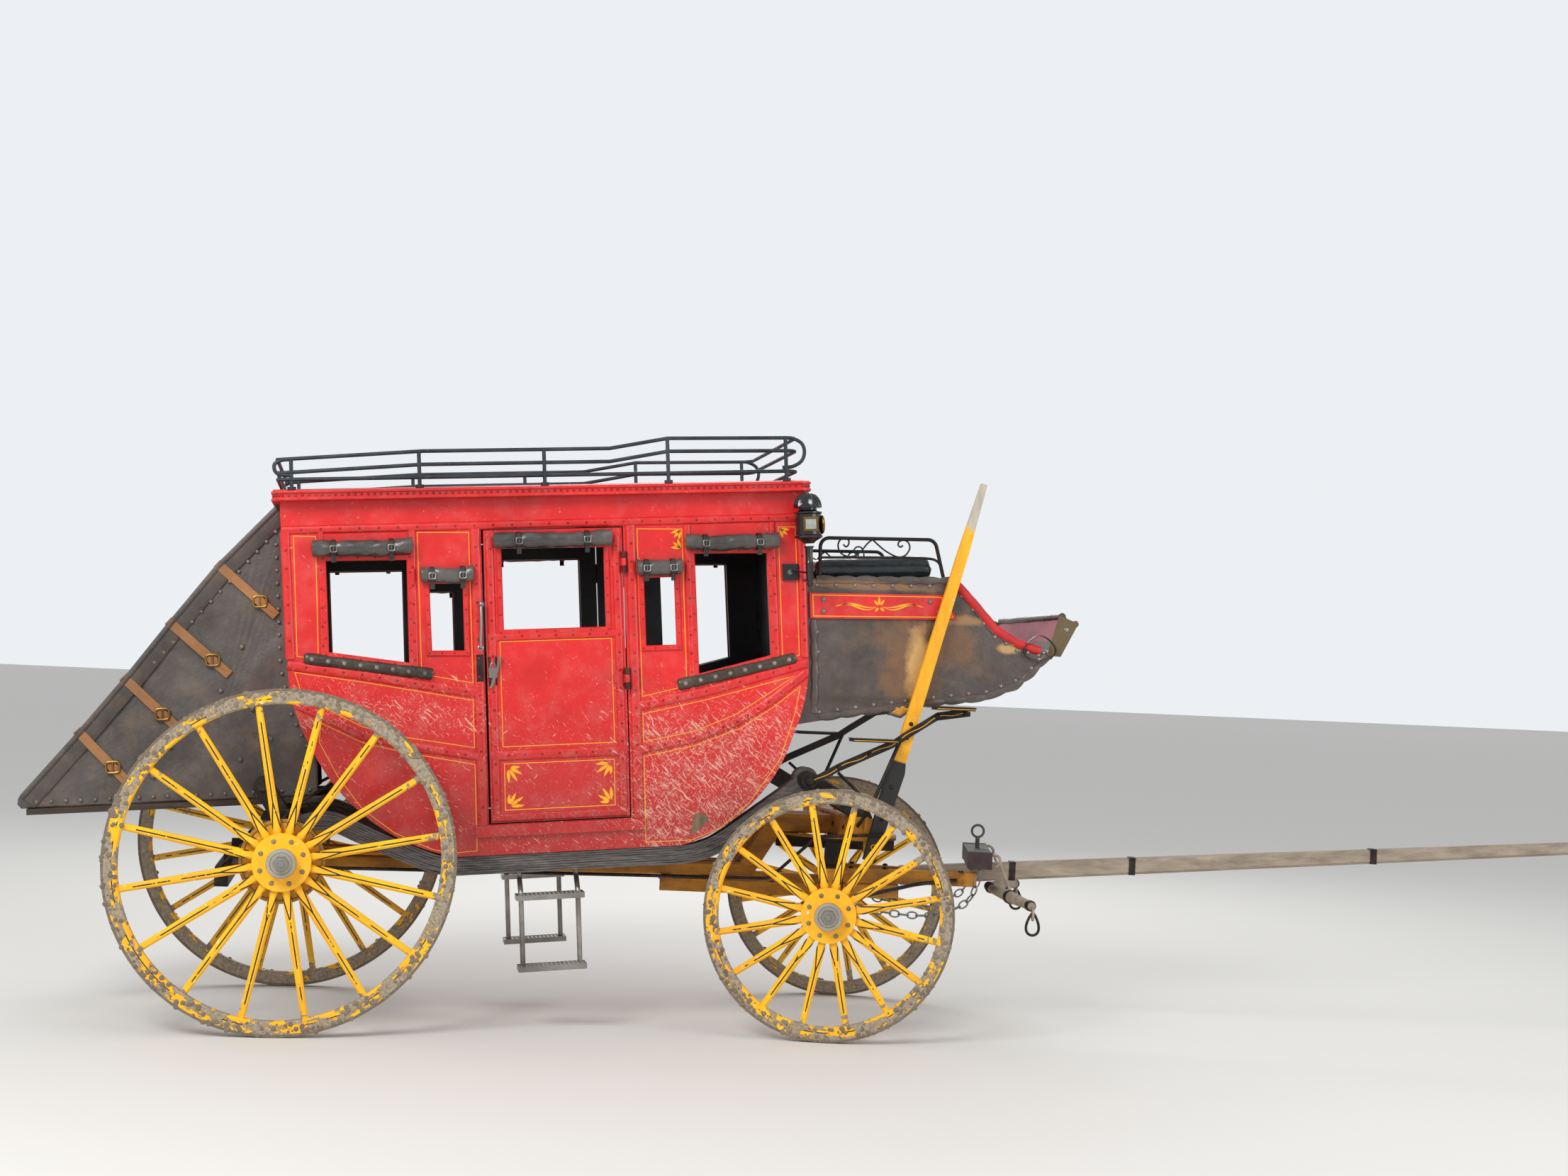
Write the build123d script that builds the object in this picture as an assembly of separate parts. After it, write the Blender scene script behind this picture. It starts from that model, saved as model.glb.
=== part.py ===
from build123d import *
import math
import os

# A stagecoach at its real size, in millimetres. X points forward, Y to the coach's left, Z up.
# The origin is on the ground at the middle of the whole vehicle, pole included.
os.makedirs("parts", exist_ok=True)

# Driving sizes of the wheels
REAR_RADIUS = 775.0
FRONT_RADIUS = 592.0
TRACK = 1575.0
WHEELBASE = 2710.0
STEER_DEG = -13.9
TYRE_THICK = 12.0
RIM_WIDTH = 50.0
FELLOE_DEPTH = 58.0
FELLOE_EASE = 8.0
SPOKES = 16
FLANGE_RADIUS = 130.0
BARREL_RADIUS = 62.0
HUB_INNER = 95.0
HUB_OUTER = 92.0
DRUM_RADIUS = 190.0
DRUM_WALL = 14.0

# Driving sizes of the axles and the frame under the coach
BORE_RADIUS = 30.0
RUNNING_FIT = 0.05
FACE_GAP = 0.3
BEAM = 62.0
BOLSTER_HALF = 610.0
BOLSTER_RISE = 145.0
PERCH_DROP = 33.0
PERCH_Z = REAR_RADIUS - PERCH_DROP
PERCH_SIZE = 62.0
PERCH_BACK_Y = 330.0
PERCH_FRONT_Y = 110.0
PERCH_FRONT_X = 2200.0
TRANSOM_LOW = 930.0
TRANSOM_TOP = 1045.0
TRANSOM_HALF = 560.0
KINGPIN_RADIUS = 16.0
CIRCLE_RADIUS = 310.0
CIRCLE_BAND = 48.0
CIRCLE_THICK = 12.0
BED_TOP = 790.0

# Driving sizes of the pole and what is on it
POLE_BACK_X = 330.0
POLE_TIP_X = 3810.0
POLE_BACK_SIZE = 94.0
POLE_TIP_RADIUS = 30.0
POLE_RISE_DEG = 5.0
POLE_LEVEL_X = 800.0
POLE_Z = 770.0
FERRULE_LENGTH = 130.0

# Driving sizes of the body, which sits nose up on its leather straps
BODY_PITCH_DEG = 4.6
PITCH_X = 1250.0
PITCH_Z = 1600.0
RIDE_OVER_AXLE = 825.0
RIDE_Z = REAR_RADIUS + RIDE_OVER_AXLE
HALF_WIDTH = 600.0
TURN_UNDER = 50.0
TURN_START_Z = 1600.0
WALL = 36.0
BELLY_WALL = 30.0
BELLY_Z = 838.0
EAVE_Z = 2508.0
BACK_TOP_X = -36.0
FRONT_TOP_X = 2424.0
ROOF_EDGE = 44.0
ROOF_CROWN = 45.0
ROOF_OVERHANG = 60.0
ROOF_HALF_WIDTH = HALF_WIDTH + ROOF_OVERHANG
ROOF_BACK_X = -65.0
ROOF_FRONT_X = 2446.0
STRAP_THICK = 90.0
STRAP_WIDTH = 90.0
STRAP_Y = 500.0
STRAP_PIN_RADIUS = 20.0
BOX_HALF_WIDTH = 550.0
BOX_WALL = 26.0
BOOT_HALF_WIDTH = 440.0

# Door sizes: the opening in the wall is larger by these gaps
DOOR_BACK_X = 885.0
DOOR_FRONT_X = 1535.0
DOOR_LOW_Z = 988.0
DOOR_HIGH_Z = 2354.0
DOOR_GAP = 6.0
DOOR_LATCH_GAP = 11.0
HINGE_PIN_RADIUS = 6.0
HINGE_OUT = 19.0
KNUCKLE_RADIUS = 12.0
LEAF_THICK = 6.0

# The middle of the vehicle's length, from the back of the boot to the tip of the pole
CENTRE_X = 2603.0
GROUND = Pos(-CENTRE_X, 0, 0)
BODY = GROUND * Pos(PITCH_X, 0, RIDE_Z) * Rot(0, -BODY_PITCH_DEG, 0) * Pos(-PITCH_X, 0, -PITCH_Z)
CARRIAGE = GROUND * Pos(WHEELBASE, 0, 0) * Rot(0, 0, STEER_DEG)


def keep(name, shape, place=GROUND):
    """Places a finished piece and writes it to its own file."""
    pieces = [place * solid for solid in shape.solids()]
    export_step(Compound(children=pieces), f"parts/{name}.step")


def block(x, y, z):
    """A box from three (low, high) pairs."""
    size = [high - low for low, high in (x, y, z)]
    middle = [(high + low) / 2 for low, high in (x, y, z)]
    return Pos(*middle) * Box(*size)


def side_plate(points, y_low, y_high):
    """A plate whose outline lies in the side view, between two Y values."""
    outline = make_face(Polyline(*points, close=True))
    return Pos(0, y_high, 0) * extrude(Plane.XZ * outline, y_high - y_low)


def rod(points, radius, bend=30.0):
    """A round bar along straight runs joined by bends."""
    path = Line(*points) if len(points) == 2 else FilletPolyline(*points, radius=bend)
    section = Plane(path @ 0, z_dir=path % 0) * Circle(radius)
    return sweep(section, path=path)


def both_sides(shape):
    """The piece and its mirror image across the coach's middle plane."""
    return Compound(children=[*shape.solids(), *mirror(shape, Plane.XZ).solids()])


def on_side(shape, side):
    """A piece made on the left, or its mirror image on the right."""
    return shape if side > 0 else mirror(shape, Plane.XZ)


# Wheels. Each is made round the Y axis with its outer face towards +Y.
def wheel_ring(outer, inner, y_low, y_high, edge=0.0):
    """A flat-sided ring round the Y axis, its two inner edges eased."""
    width = y_high - y_low
    ring = Cylinder(outer, width) - Cylinder(inner, width)
    if edge:
        ring = chamfer(ring.edges().filter_by(GeomType.CIRCLE).sort_by(SortBy.RADIUS)[:2], edge)
    return Pos(0, (y_low + y_high) / 2, 0) * Rot(90, 0, 0) * ring


def spoke(foot, tip):
    """One tapered spoke that leans outward from the hub to the rim."""
    # columns: share of the length, width across the wheel, depth along the axle, lean outward
    stations = ((0.0, 29.0, 44.0, -4.0), (0.2, 40.0, 40.0, -3.0), (1.0, 30.0, 27.0, 0.0))
    sections = []
    for share, wide, deep, lean in stations:
        outline = chamfer(Rectangle(wide, deep).vertices(), wide / 4)
        sections.append(Pos(0, lean, foot + share * (tip - foot)) * outline)
    return loft(sections, ruled=True)


def hub_body():
    """The iron nave: two flanges that clamp the spokes, a barrel, and a cap over the axle's end."""
    flange_y = 26.0
    flange_thick = 9.0
    cap_wall = 14.0
    profile = Polyline(
        (BORE_RADIUS, -HUB_INNER),
        (BARREL_RADIUS - 6, -HUB_INNER),
        (BARREL_RADIUS, -HUB_INNER + 20),
        (BARREL_RADIUS + 8, -flange_y - flange_thick),
        (FLANGE_RADIUS, -flange_y - flange_thick),
        (FLANGE_RADIUS, -flange_y),
        (BARREL_RADIUS + 14, -flange_y),
        (BARREL_RADIUS + 14, flange_y),
        (FLANGE_RADIUS, flange_y),
        (FLANGE_RADIUS, flange_y + flange_thick),
        (BARREL_RADIUS + 6, flange_y + flange_thick),
        (BARREL_RADIUS, HUB_OUTER - 34),
        (BARREL_RADIUS, HUB_OUTER - cap_wall),
        (BARREL_RADIUS - 12, HUB_OUTER),
        (0, HUB_OUTER),
        (0, HUB_OUTER - cap_wall),
        (BORE_RADIUS, HUB_OUTER - cap_wall),
        close=True,
    )
    nave = Rot(-90, 0, 0) * revolve(Plane.XZ * make_face(profile), Axis.Z)
    nut = extrude(RegularPolygon(29, 6, major_radius=False), 26)
    return nave + Pos(0, HUB_OUTER, 0) * Rot(-90, 0, 0) * nut


def build_wheel(name, radius, place, braked):
    """One wheel: steel tyre, timber felloes with their spokes, and the hub with its brake drum."""
    felloe_top = radius - TYRE_THICK
    felloe_low = felloe_top - FELLOE_DEPTH
    half = RIM_WIDTH / 2
    keep(f"{name}_tyre", wheel_ring(radius, felloe_top, -half, half), place)
    timber = wheel_ring(felloe_top, felloe_low, -half, half, FELLOE_EASE)
    one = spoke(BARREL_RADIUS + 14.5, felloe_low + 10)
    turned = [Rot(0, (i + 0.5) * 360 / SPOKES, 0) * one for i in range(SPOKES)]
    keep(f"{name}_spokes", timber + turned, place)
    hub = hub_body()
    if braked:
        hub += wheel_ring(DRUM_RADIUS, DRUM_RADIUS - DRUM_WALL, -91, -29)
        hub += wheel_ring(DRUM_RADIUS - DRUM_WALL, BARREL_RADIUS + 8, -45, -35)
    keep(f"{name}_hub", hub, place)


# columns: name, wheel radius, frame it turns in, side (+1 is left)
WHEELS = (
    ("rear_right", REAR_RADIUS, GROUND, -1),
    ("rear_left", REAR_RADIUS, GROUND, 1),
    ("front_right", FRONT_RADIUS, CARRIAGE, -1),
    ("front_left", FRONT_RADIUS, CARRIAGE, 1),
)
for wheel_name, wheel_radius, frame, side in WHEELS:
    facing = 0 if side > 0 else 180
    centre = frame * Pos(0, side * TRACK / 2, wheel_radius) * Rot(0, 0, facing)
    build_wheel(wheel_name, wheel_radius, centre, frame is GROUND)


# Axles: a square beam with a round arm at each end, inside the hub's bore
def axle(wheel_radius):
    """One axle at its wheels' height."""
    beam_half = TRACK / 2 - HUB_INNER - 2
    arm_reach = TRACK / 2 + HUB_OUTER - 16
    half = BEAM / 2
    beam = block((-half, half), (-beam_half, beam_half), (-half, half))
    arm = Rot(90, 0, 0) * Cylinder(BORE_RADIUS - RUNNING_FIT, 2 * arm_reach)
    return Pos(0, 0, wheel_radius) * (beam + arm)


rear_axle = axle(REAR_RADIUS)
keep("rear_axle", rear_axle)

# Rear bolster: the timber on the axle that carries the standards
bolster_low = REAR_RADIUS + BEAM / 2
bolster_top = REAR_RADIUS + BOLSTER_RISE
rear_bolster = block((-50, 50), (-BOLSTER_HALF, BOLSTER_HALF), (bolster_low, bolster_top))
rear_bolster = chamfer(rear_bolster.edges().filter_by(Axis.Y), 10)
keep("rear_bolster", rear_bolster)

# Perch necks: each perch rises in front to meet the transom
transom_back_x = WHEELBASE - 55
NECK_OUTLINE = (
    (PERCH_FRONT_X, PERCH_Z - PERCH_SIZE / 2),
    (PERCH_FRONT_X + 62, PERCH_Z - PERCH_SIZE / 2),
    (WHEELBASE - CIRCLE_RADIUS, TRANSOM_LOW + 6),
    (transom_back_x, TRANSOM_LOW + 6),
    (transom_back_x, TRANSOM_TOP - 20),
    (WHEELBASE - CIRCLE_RADIUS - 50, TRANSOM_TOP - 20),
    (PERCH_FRONT_X, PERCH_Z + PERCH_SIZE / 2),
)
neck = side_plate(NECK_OUTLINE, -PERCH_SIZE / 2, PERCH_SIZE / 2)

# Perches: three timber poles from the rear axle, converging under the coach
def perch(back_y, front_y):
    """One level perch pole, cut to fit the axle, the bolster and its neck."""
    half = PERCH_SIZE / 2
    run = PERCH_FRONT_X + 20
    angle = math.degrees(math.atan2(front_y - back_y, run))
    length = math.hypot(front_y - back_y, run)
    pole = block((-20, length), (-half, half), (PERCH_Z - half, PERCH_Z + half))
    pole = Pos(0, back_y, 0) * Rot(0, 0, angle) * chamfer(pole.edges().filter_by(Axis.X), 8)
    pole -= block((-200, BEAM / 2), (-TRACK, TRACK), (0, 2 * REAR_RADIUS))
    pole -= block((PERCH_FRONT_X, PERCH_FRONT_X + 200), (-TRACK, TRACK), (0, 2 * REAR_RADIUS))
    return pole + Pos(0, front_y, 0) * neck


perch_ends = ((0.0, 0.0), (-PERCH_BACK_Y, -PERCH_FRONT_Y), (PERCH_BACK_Y, PERCH_FRONT_Y))
keep("perches", Compound(children=[perch(back, front).solid() for back, front in perch_ends]))

# Front transom: the fixed timber over the turning circle, with its plate and the kingpin
transom = Pos(WHEELBASE, 0, 0) * block((-55, 55), (-TRANSOM_HALF, TRANSOM_HALF), (TRANSOM_LOW, TRANSOM_TOP))
transom = chamfer(transom.edges().filter_by(Axis.Y), 10)
circle = Cylinder(CIRCLE_RADIUS, CIRCLE_THICK) - Cylinder(CIRCLE_RADIUS - CIRCLE_BAND, CIRCLE_THICK)
upper_circle = Pos(WHEELBASE, 0, TRANSOM_LOW - CIRCLE_THICK / 2) * circle
PIN_LOW = 645.0
pin_top = TRANSOM_TOP + 22
kingpin = Pos(WHEELBASE, 0, (PIN_LOW + pin_top) / 2) * Cylinder(KINGPIN_RADIUS, pin_top - PIN_LOW)

# Standards: forked irons on the bolster and the transom whose pins hold the straps' end loops
REAR_PIN = (-110.0, RIDE_Z - 505.0)
FRONT_PIN = (2430.0, RIDE_Z - 385.0)
CHEEK = 14.0
cheek_inner = STRAP_Y - STRAP_WIDTH / 2 - CHEEK - 1
cheek_outer = STRAP_Y + STRAP_WIDTH / 2 + 1


def standard(outline, pin, pin_end_y):
    """A pair of cheeks on the left, each with a boss round the pin."""
    pieces = None
    for y_low in (cheek_inner, cheek_outer):
        cheek = side_plate(outline, y_low, y_low + CHEEK)
        boss = Pos(pin[0], y_low + CHEEK / 2, pin[1]) * Rot(90, 0, 0) * Cylinder(44, CHEEK)
        pieces = cheek + boss if pieces is None else pieces + cheek + boss
    length = pin_end_y - cheek_inner
    bolt = Pos(pin[0], cheek_inner + length / 2, pin[1]) * Rot(90, 0, 0) * Cylinder(STRAP_PIN_RADIUS, length)
    return pieces + bolt


rear_cheek = (
    (-46, bolster_top),
    (46, bolster_top),
    (30, bolster_top + 40),
    (REAR_PIN[0] + 40, REAR_PIN[1] + 18),
    (REAR_PIN[0] - 42, REAR_PIN[1] - 12),
)
IRON_Y = 612.0
IRON_THICK = 12.0
rear_standard = standard(rear_cheek, REAR_PIN, cheek_outer + CHEEK + 12)
front_cheek = (
    (WHEELBASE - 50, TRANSOM_TOP),
    (WHEELBASE + 50, TRANSOM_TOP),
    (WHEELBASE + 10, TRANSOM_TOP + 60),
    (FRONT_PIN[0] + 25, FRONT_PIN[1] + 36),
    (FRONT_PIN[0] - 15, FRONT_PIN[1] - 42),
)
front_standard = standard(front_cheek, FRONT_PIN, IRON_Y + IRON_THICK + 10)
standards = Compound(children=[rear_standard.solid(), front_standard.solid()])
keep("standards", both_sides(standards))

# Thoroughbraces: stacks of leather straps that loop round the pins and pass under the body
body_angle = math.radians(BODY_PITCH_DEG)


def to_body(point):
    """A side-view point of the level frame, in the pitched body's own sizes."""
    ahead = point[0] - PITCH_X
    above = point[1] - RIDE_Z
    x = PITCH_X + ahead * math.cos(body_angle) + above * math.sin(body_angle)
    z = PITCH_Z - ahead * math.sin(body_angle) + above * math.cos(body_angle)
    return x, z


strap_mid_z = BELLY_Z - FACE_GAP - STRAP_THICK / 2
SLOPE_FACTOR = 1.2
slope_room = SLOPE_FACTOR * STRAP_THICK / 2
rear_pin_x, rear_pin_z = to_body(REAR_PIN)
front_pin_x, front_pin_z = to_body(FRONT_PIN)
STRAP_ROUTE = (
    (rear_pin_x, rear_pin_z),
    (132, 1102 - slope_room),
    (344, 990 - slope_room),
    (650, strap_mid_z),
    (1830, strap_mid_z),
    (1965, 886 - slope_room),
    (2135, 992 - slope_room),
    (front_pin_x, front_pin_z),
)
strap_path = FilletPolyline(*[(x, STRAP_Y, z) for x, z in STRAP_ROUTE], radius=110)
strap_start = Plane(strap_path @ 0, x_dir=(0, 1, 0), z_dir=strap_path % 0)
strap = sweep(strap_start * Rectangle(STRAP_WIDTH, STRAP_THICK), path=strap_path)
for pin_x, pin_z in (STRAP_ROUTE[0], STRAP_ROUTE[-1]):
    across = Pos(pin_x, STRAP_Y, pin_z) * Rot(90, 0, 0)
    strap += across * Cylinder(60, STRAP_WIDTH)
for pin_x, pin_z in (STRAP_ROUTE[0], STRAP_ROUTE[-1]):
    across = Pos(pin_x, STRAP_Y, pin_z) * Rot(90, 0, 0)
    strap -= across * Cylinder(STRAP_PIN_RADIUS + RUNNING_FIT, STRAP_WIDTH + 2)
keep("thoroughbraces", both_sides(strap), BODY)

# Brake beam behind the rear axle, held by two arms, and the long rod that works it
BRAKE_BEAM_X = -300.0
brake_beam = block((BRAKE_BEAM_X, BRAKE_BEAM_X + 62), (-600, 600), (640, 730))
for arm_y in (-300, 300):
    brake_beam += block((BRAKE_BEAM_X + 62, -BEAM / 2), (arm_y - 22, arm_y + 22), (REAR_RADIUS - 29, REAR_RADIUS + 15))
    brake_beam += block((BRAKE_BEAM_X + 20, BRAKE_BEAM_X + 62), (arm_y - 22, arm_y + 22), (730, REAR_RADIUS + 15))
LEVER_Y = -593.0
LEVER_THICK = 24.0
ROD_RADIUS = 8.0
rod_y = LEVER_Y - LEVER_THICK / 2 - ROD_RADIUS - 3
BRAKE_ROUTE = (
    (2814, rod_y, 966),
    (2480, rod_y, 948),
    (2300, -400, 724),
    (BRAKE_BEAM_X + 62, -400, 718),
)
keep("brake_rigging", brake_beam + rod(BRAKE_ROUTE, ROD_RADIUS, 60))

# Brake lever: a long ash bar with an iron foot plate, pivoted at the end of the transom
LEVER_PIVOT = (2762.0, 905.0)
LEVER_LEAN_DEG = 15.2
LEVER_LENGTH = 1850.0
lever_pin_end = LEVER_Y - LEVER_THICK / 2 - 4
bracket = block((2722, 2800), (-TRANSOM_HALF - 12, -TRANSOM_HALF), (872, 1040))
lever_pin_length = -TRANSOM_HALF - 6 - lever_pin_end
lever_pin = Rot(90, 0, 0) * Cylinder(14, lever_pin_length)
bracket += Pos(LEVER_PIVOT[0], lever_pin_end + lever_pin_length / 2, LEVER_PIVOT[1]) * lever_pin
keep("front_transom", transom + upper_circle + kingpin + bracket)
half_lever = LEVER_THICK / 2
# columns: distance up the lever, half its width there
LEVER_WIDTHS = ((-70, 30), (380, 44), (430, 33), (1500, 27), (1700, 20), (LEVER_LENGTH, 15))
lever_outline = [(-half, up) for up, half in LEVER_WIDTHS] + [(half, up) for up, half in reversed(LEVER_WIDTHS)]
lever = side_plate(lever_outline, -half_lever, half_lever)
lever -= Rot(90, 0, 0) * Cylinder(14 + RUNNING_FIT, LEVER_THICK + 2)
LEVER_FRAME = GROUND * Pos(LEVER_PIVOT[0], LEVER_Y, LEVER_PIVOT[1]) * Rot(0, LEVER_LEAN_DEG, 0)
keep("brake_lever", lever, LEVER_FRAME)

# Step irons: one flat bar a side from the strap's pin up past the driver's box, with two treads
# columns: forward, height over the pin
IRON_RISE = ((2430, -15), (2573, 67), (2842, 193), (2900, 233), (3050, 330), (3215, 357))
IRON_ROUTE = [(x, FRONT_PIN[1] + rise) for x, rise in IRON_RISE]
IRON_DEPTH = 40.0
lower_edge = [(x, z - IRON_DEPTH / 2) for x, z in IRON_ROUTE]
upper_edge = [(x, z + IRON_DEPTH / 2) for x, z in reversed(IRON_ROUTE)]
iron = side_plate(lower_edge + upper_edge, IRON_Y, IRON_Y + IRON_THICK)
iron += Pos(FRONT_PIN[0], IRON_Y + IRON_THICK / 2, FRONT_PIN[1]) * Rot(90, 0, 0) * Cylinder(38, IRON_THICK)
iron -= Pos(FRONT_PIN[0], IRON_Y, FRONT_PIN[1]) * Rot(90, 0, 0) * Cylinder(STRAP_PIN_RADIUS + RUNNING_FIT, 60)
# columns: back and front of a tread, height of its underside over the pin
for tread_back, tread_front, rise in ((2618, 2835, 195), (3022, 3212, 363)):
    tread_z = FRONT_PIN[1] + rise
    iron += block((tread_back, tread_front), (IRON_Y, IRON_Y + 112), (tread_z, tread_z + 14))
prop_y = IRON_Y + IRON_THICK / 2
PROP_ROUTE = (
    (2868, prop_y, FRONT_PIN[1] + 200),
    (WHEELBASE + 25, prop_y, TRANSOM_TOP + 45),
    (WHEELBASE - 20, TRANSOM_HALF, TRANSOM_TOP - 45),
)
prop = rod(PROP_ROUTE, 9, 25)
keep("step_irons", both_sides(iron + (prop - transom)))

# Cabin. Its outline is one closed side view, shared by the walls, the belly and the ends.
def cabin_wire():
    """The side view of the cabin: upright ends that sweep round into the flat belly."""
    return Wire(
        [
            Line((FRONT_TOP_X, EAVE_Z), (BACK_TOP_X, EAVE_Z)),
            Line((BACK_TOP_X, EAVE_Z), (-20, 1779)),
            ThreePointArc((-20, 1779), (4, 1562), (81, 1362)),
            ThreePointArc((81, 1362), (330, 1030), (720, BELLY_Z)),
            Line((720, BELLY_Z), (1780, BELLY_Z)),
            ThreePointArc((1780, BELLY_Z), (2115, 1015), (2330, 1340)),
            ThreePointArc((2330, 1340), (2393, 1512), (2417, 1700)),
            Line((2417, 1700), (FRONT_TOP_X, EAVE_Z)),
        ]
    )


def cabin_prism(inset, half_width):
    """The cabin's side view, drawn in by a wall and carried across to a half width."""
    face = make_face(cabin_wire())
    if inset:
        face = offset(face, -inset)
    return Pos(0, half_width, 0) * extrude(Plane.XZ * face, 2 * half_width)


def section_prism(inset):
    """The cabin's cross-section with its turned-under sides, carried along the whole length."""
    half = HALF_WIDTH - inset
    low_half = half - TURN_UNDER
    mid = (half - TURN_UNDER / 4, (TURN_START_Z + BELLY_Z) / 2)
    right_mid = (-mid[0], mid[1])
    lines = [
        Line((half, EAVE_Z), (half, TURN_START_Z)),
        ThreePointArc((half, TURN_START_Z), mid, (low_half, BELLY_Z)),
        Line((low_half, BELLY_Z), (-low_half, BELLY_Z)),
        ThreePointArc((-low_half, BELLY_Z), right_mid, (-half, TURN_START_Z)),
        Line((-half, TURN_START_Z), (-half, EAVE_Z)),
        Line((-half, EAVE_Z), (half, EAVE_Z)),
    ]
    return Pos(-200, 0, 0) * extrude(Plane.YZ * make_face(Wire(lines)), 2900)


cabin_outer = cabin_prism(0, HALF_WIDTH + 1) & section_prism(0)
inner_section = section_prism(WALL)
left_half = block((-300, 2800), (0, 900), (0, 3000))
side_wall = (cabin_outer - inner_section) & left_half
inner_full = cabin_outer & inner_section
hollow = cabin_prism(BELLY_WALL, HALF_WIDTH)
hollow += block((BACK_TOP_X + BELLY_WALL, FRONT_TOP_X - BELLY_WALL), (-HALF_WIDTH, HALF_WIDTH), (EAVE_Z - 80, EAVE_Z + 20))
belly = inner_full - hollow
FLOOR_BACK_X = 620.0
FLOOR_FRONT_X = 1860.0
tall = (0, 3000)
wide = (-HALF_WIDTH, HALF_WIDTH)
keep("cabin_back", belly & block((-300, FLOOR_BACK_X), wide, tall), BODY)
keep("cabin_floor", belly & block((FLOOR_BACK_X, FLOOR_FRONT_X), wide, tall), BODY)
keep("cabin_front", belly & block((FLOOR_FRONT_X, 2800), wide, tall), BODY)

# columns: the four corners of each window, back top first and then round to front bottom
WALL_WINDOWS = (
    ((160, 2234), (534, 2230), (533, 1742), (163, 1807)),
    ((626, 2117), (788, 2114), (788, 1792), (630, 1797)),
    ((1628, 2117), (1782, 2117), (1783, 1787), (1630, 1787)),
    ((1875, 2227), (2232, 2220), (2236, 1724), (1878, 1642)),
)
DOOR_WINDOW = ((962, 2272), (1450, 2268), (1450, 1883), (963, 1883))
wall_y = (HALF_WIDTH - TURN_UNDER - WALL - 20, HALF_WIDTH + 20)
windowed = side_wall
for corners in WALL_WINDOWS:
    windowed -= side_plate(corners, *wall_y)
doorway = block(
    (DOOR_BACK_X - DOOR_LATCH_GAP, DOOR_FRONT_X + DOOR_GAP), wall_y, (DOOR_LOW_Z - DOOR_GAP, DOOR_HIGH_Z + DOOR_GAP)
)
windowed -= doorway

# Doors hang on two pin hinges at their front edge, outside the wall
door = side_wall & block((DOOR_BACK_X, DOOR_FRONT_X), wall_y, (DOOR_LOW_Z, DOOR_HIGH_Z))
door -= side_plate(DOOR_WINDOW, *wall_y)
HINGE_X = DOOR_FRONT_X + DOOR_GAP / 2
hinge_y = HALF_WIDTH + HINGE_OUT
HINGE_HEIGHTS = (1640.0, 2190.0)
hinges = []
for height in HINGE_HEIGHTS:
    strap_leaf = block((DOOR_FRONT_X - 60, HINGE_X - 8), (HALF_WIDTH, HALF_WIDTH + LEAF_THICK), (height - 18, height + 18))
    strap_leaf += block((HINGE_X - 14, HINGE_X - 8), (HALF_WIDTH, hinge_y), (height - 18, height + 18))
    strap_leaf += Pos(HINGE_X, hinge_y, height) * Cylinder(KNUCKLE_RADIUS, 36)
    strap_leaf -= Pos(HINGE_X, hinge_y, height) * Cylinder(HINGE_PIN_RADIUS + RUNNING_FIT, 60)
    door += strap_leaf
    leaf = Pos(HINGE_X, hinge_y, height) * Cylinder(HINGE_PIN_RADIUS, 100)
    for middle in (height - 35, height + 35):
        leaf += Pos(HINGE_X, hinge_y, middle) * Cylinder(KNUCKLE_RADIUS, 30)
        leaf += block((HINGE_X, HINGE_X + 14), (HALF_WIDTH + 1, hinge_y), (middle - 15, middle + 15))
    leaf += block((HINGE_X + 6, HINGE_X + 62), (HALF_WIDTH, HALF_WIDTH + LEAF_THICK), (height - 50, height + 50))
    hinges.append(leaf)
keep("door_hinges", both_sides(Compound(children=[leaf.solids()[0] for leaf in hinges])), BODY)

# Leather roll-up curtains over the windows
ROLL_RADIUS = 32.0
# columns: first and last X of the roll, height of its middle
WALL_ROLLS = ((128, 562, 2276), (600, 812, 2155), (1600, 1806, 2157), (1848, 2262, 2270))
DOOR_ROLL = (928, 1478, 2312)


def curtain(row):
    """One rolled curtain on the left side, just clear of the wall."""
    back, front, height = row
    middle = Pos((back + front) / 2, HALF_WIDTH + ROLL_RADIUS + FACE_GAP, height)
    return middle * Rot(0, 90, 0) * Cylinder(ROLL_RADIUS, front - back)


wall_curtains = Compound(children=[curtain(row) for row in WALL_ROLLS])

# Door sill mouldings under each doorway
sill = block((811, 1604), (HALF_WIDTH - TURN_UNDER - 10, HALF_WIDTH - TURN_UNDER + 32), (926, 978)) - cabin_outer

for side_name, side in (("left", 1), ("right", -1)):
    keep(f"cabin_side_{side_name}", on_side(windowed, side), BODY)
    keep(f"door_{side_name}", on_side(door, side), BODY)
    keep(f"door_curtain_{side_name}", on_side(curtain(DOOR_ROLL), side), BODY)
keep("curtains", both_sides(wall_curtains), BODY)
keep("door_sills", both_sides(sill), BODY)

# Roof: a crowned board roof with a deep edge all round
edge_top = EAVE_Z + ROOF_EDGE
roof_lines = [
    Line((ROOF_HALF_WIDTH, EAVE_Z), (ROOF_HALF_WIDTH, edge_top)),
    ThreePointArc((ROOF_HALF_WIDTH, edge_top), (0, edge_top + ROOF_CROWN), (-ROOF_HALF_WIDTH, edge_top)),
    Line((-ROOF_HALF_WIDTH, edge_top), (-ROOF_HALF_WIDTH, EAVE_Z)),
    Line((-ROOF_HALF_WIDTH, EAVE_Z), (ROOF_HALF_WIDTH, EAVE_Z)),
]
roof_face = make_face(Wire(roof_lines))
roof = Pos(ROOF_BACK_X, 0, 0) * extrude(Plane.YZ * roof_face, ROOF_FRONT_X - ROOF_BACK_X)
roof = fillet(roof.edges().filter_by(Axis.Z), 45)
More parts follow.
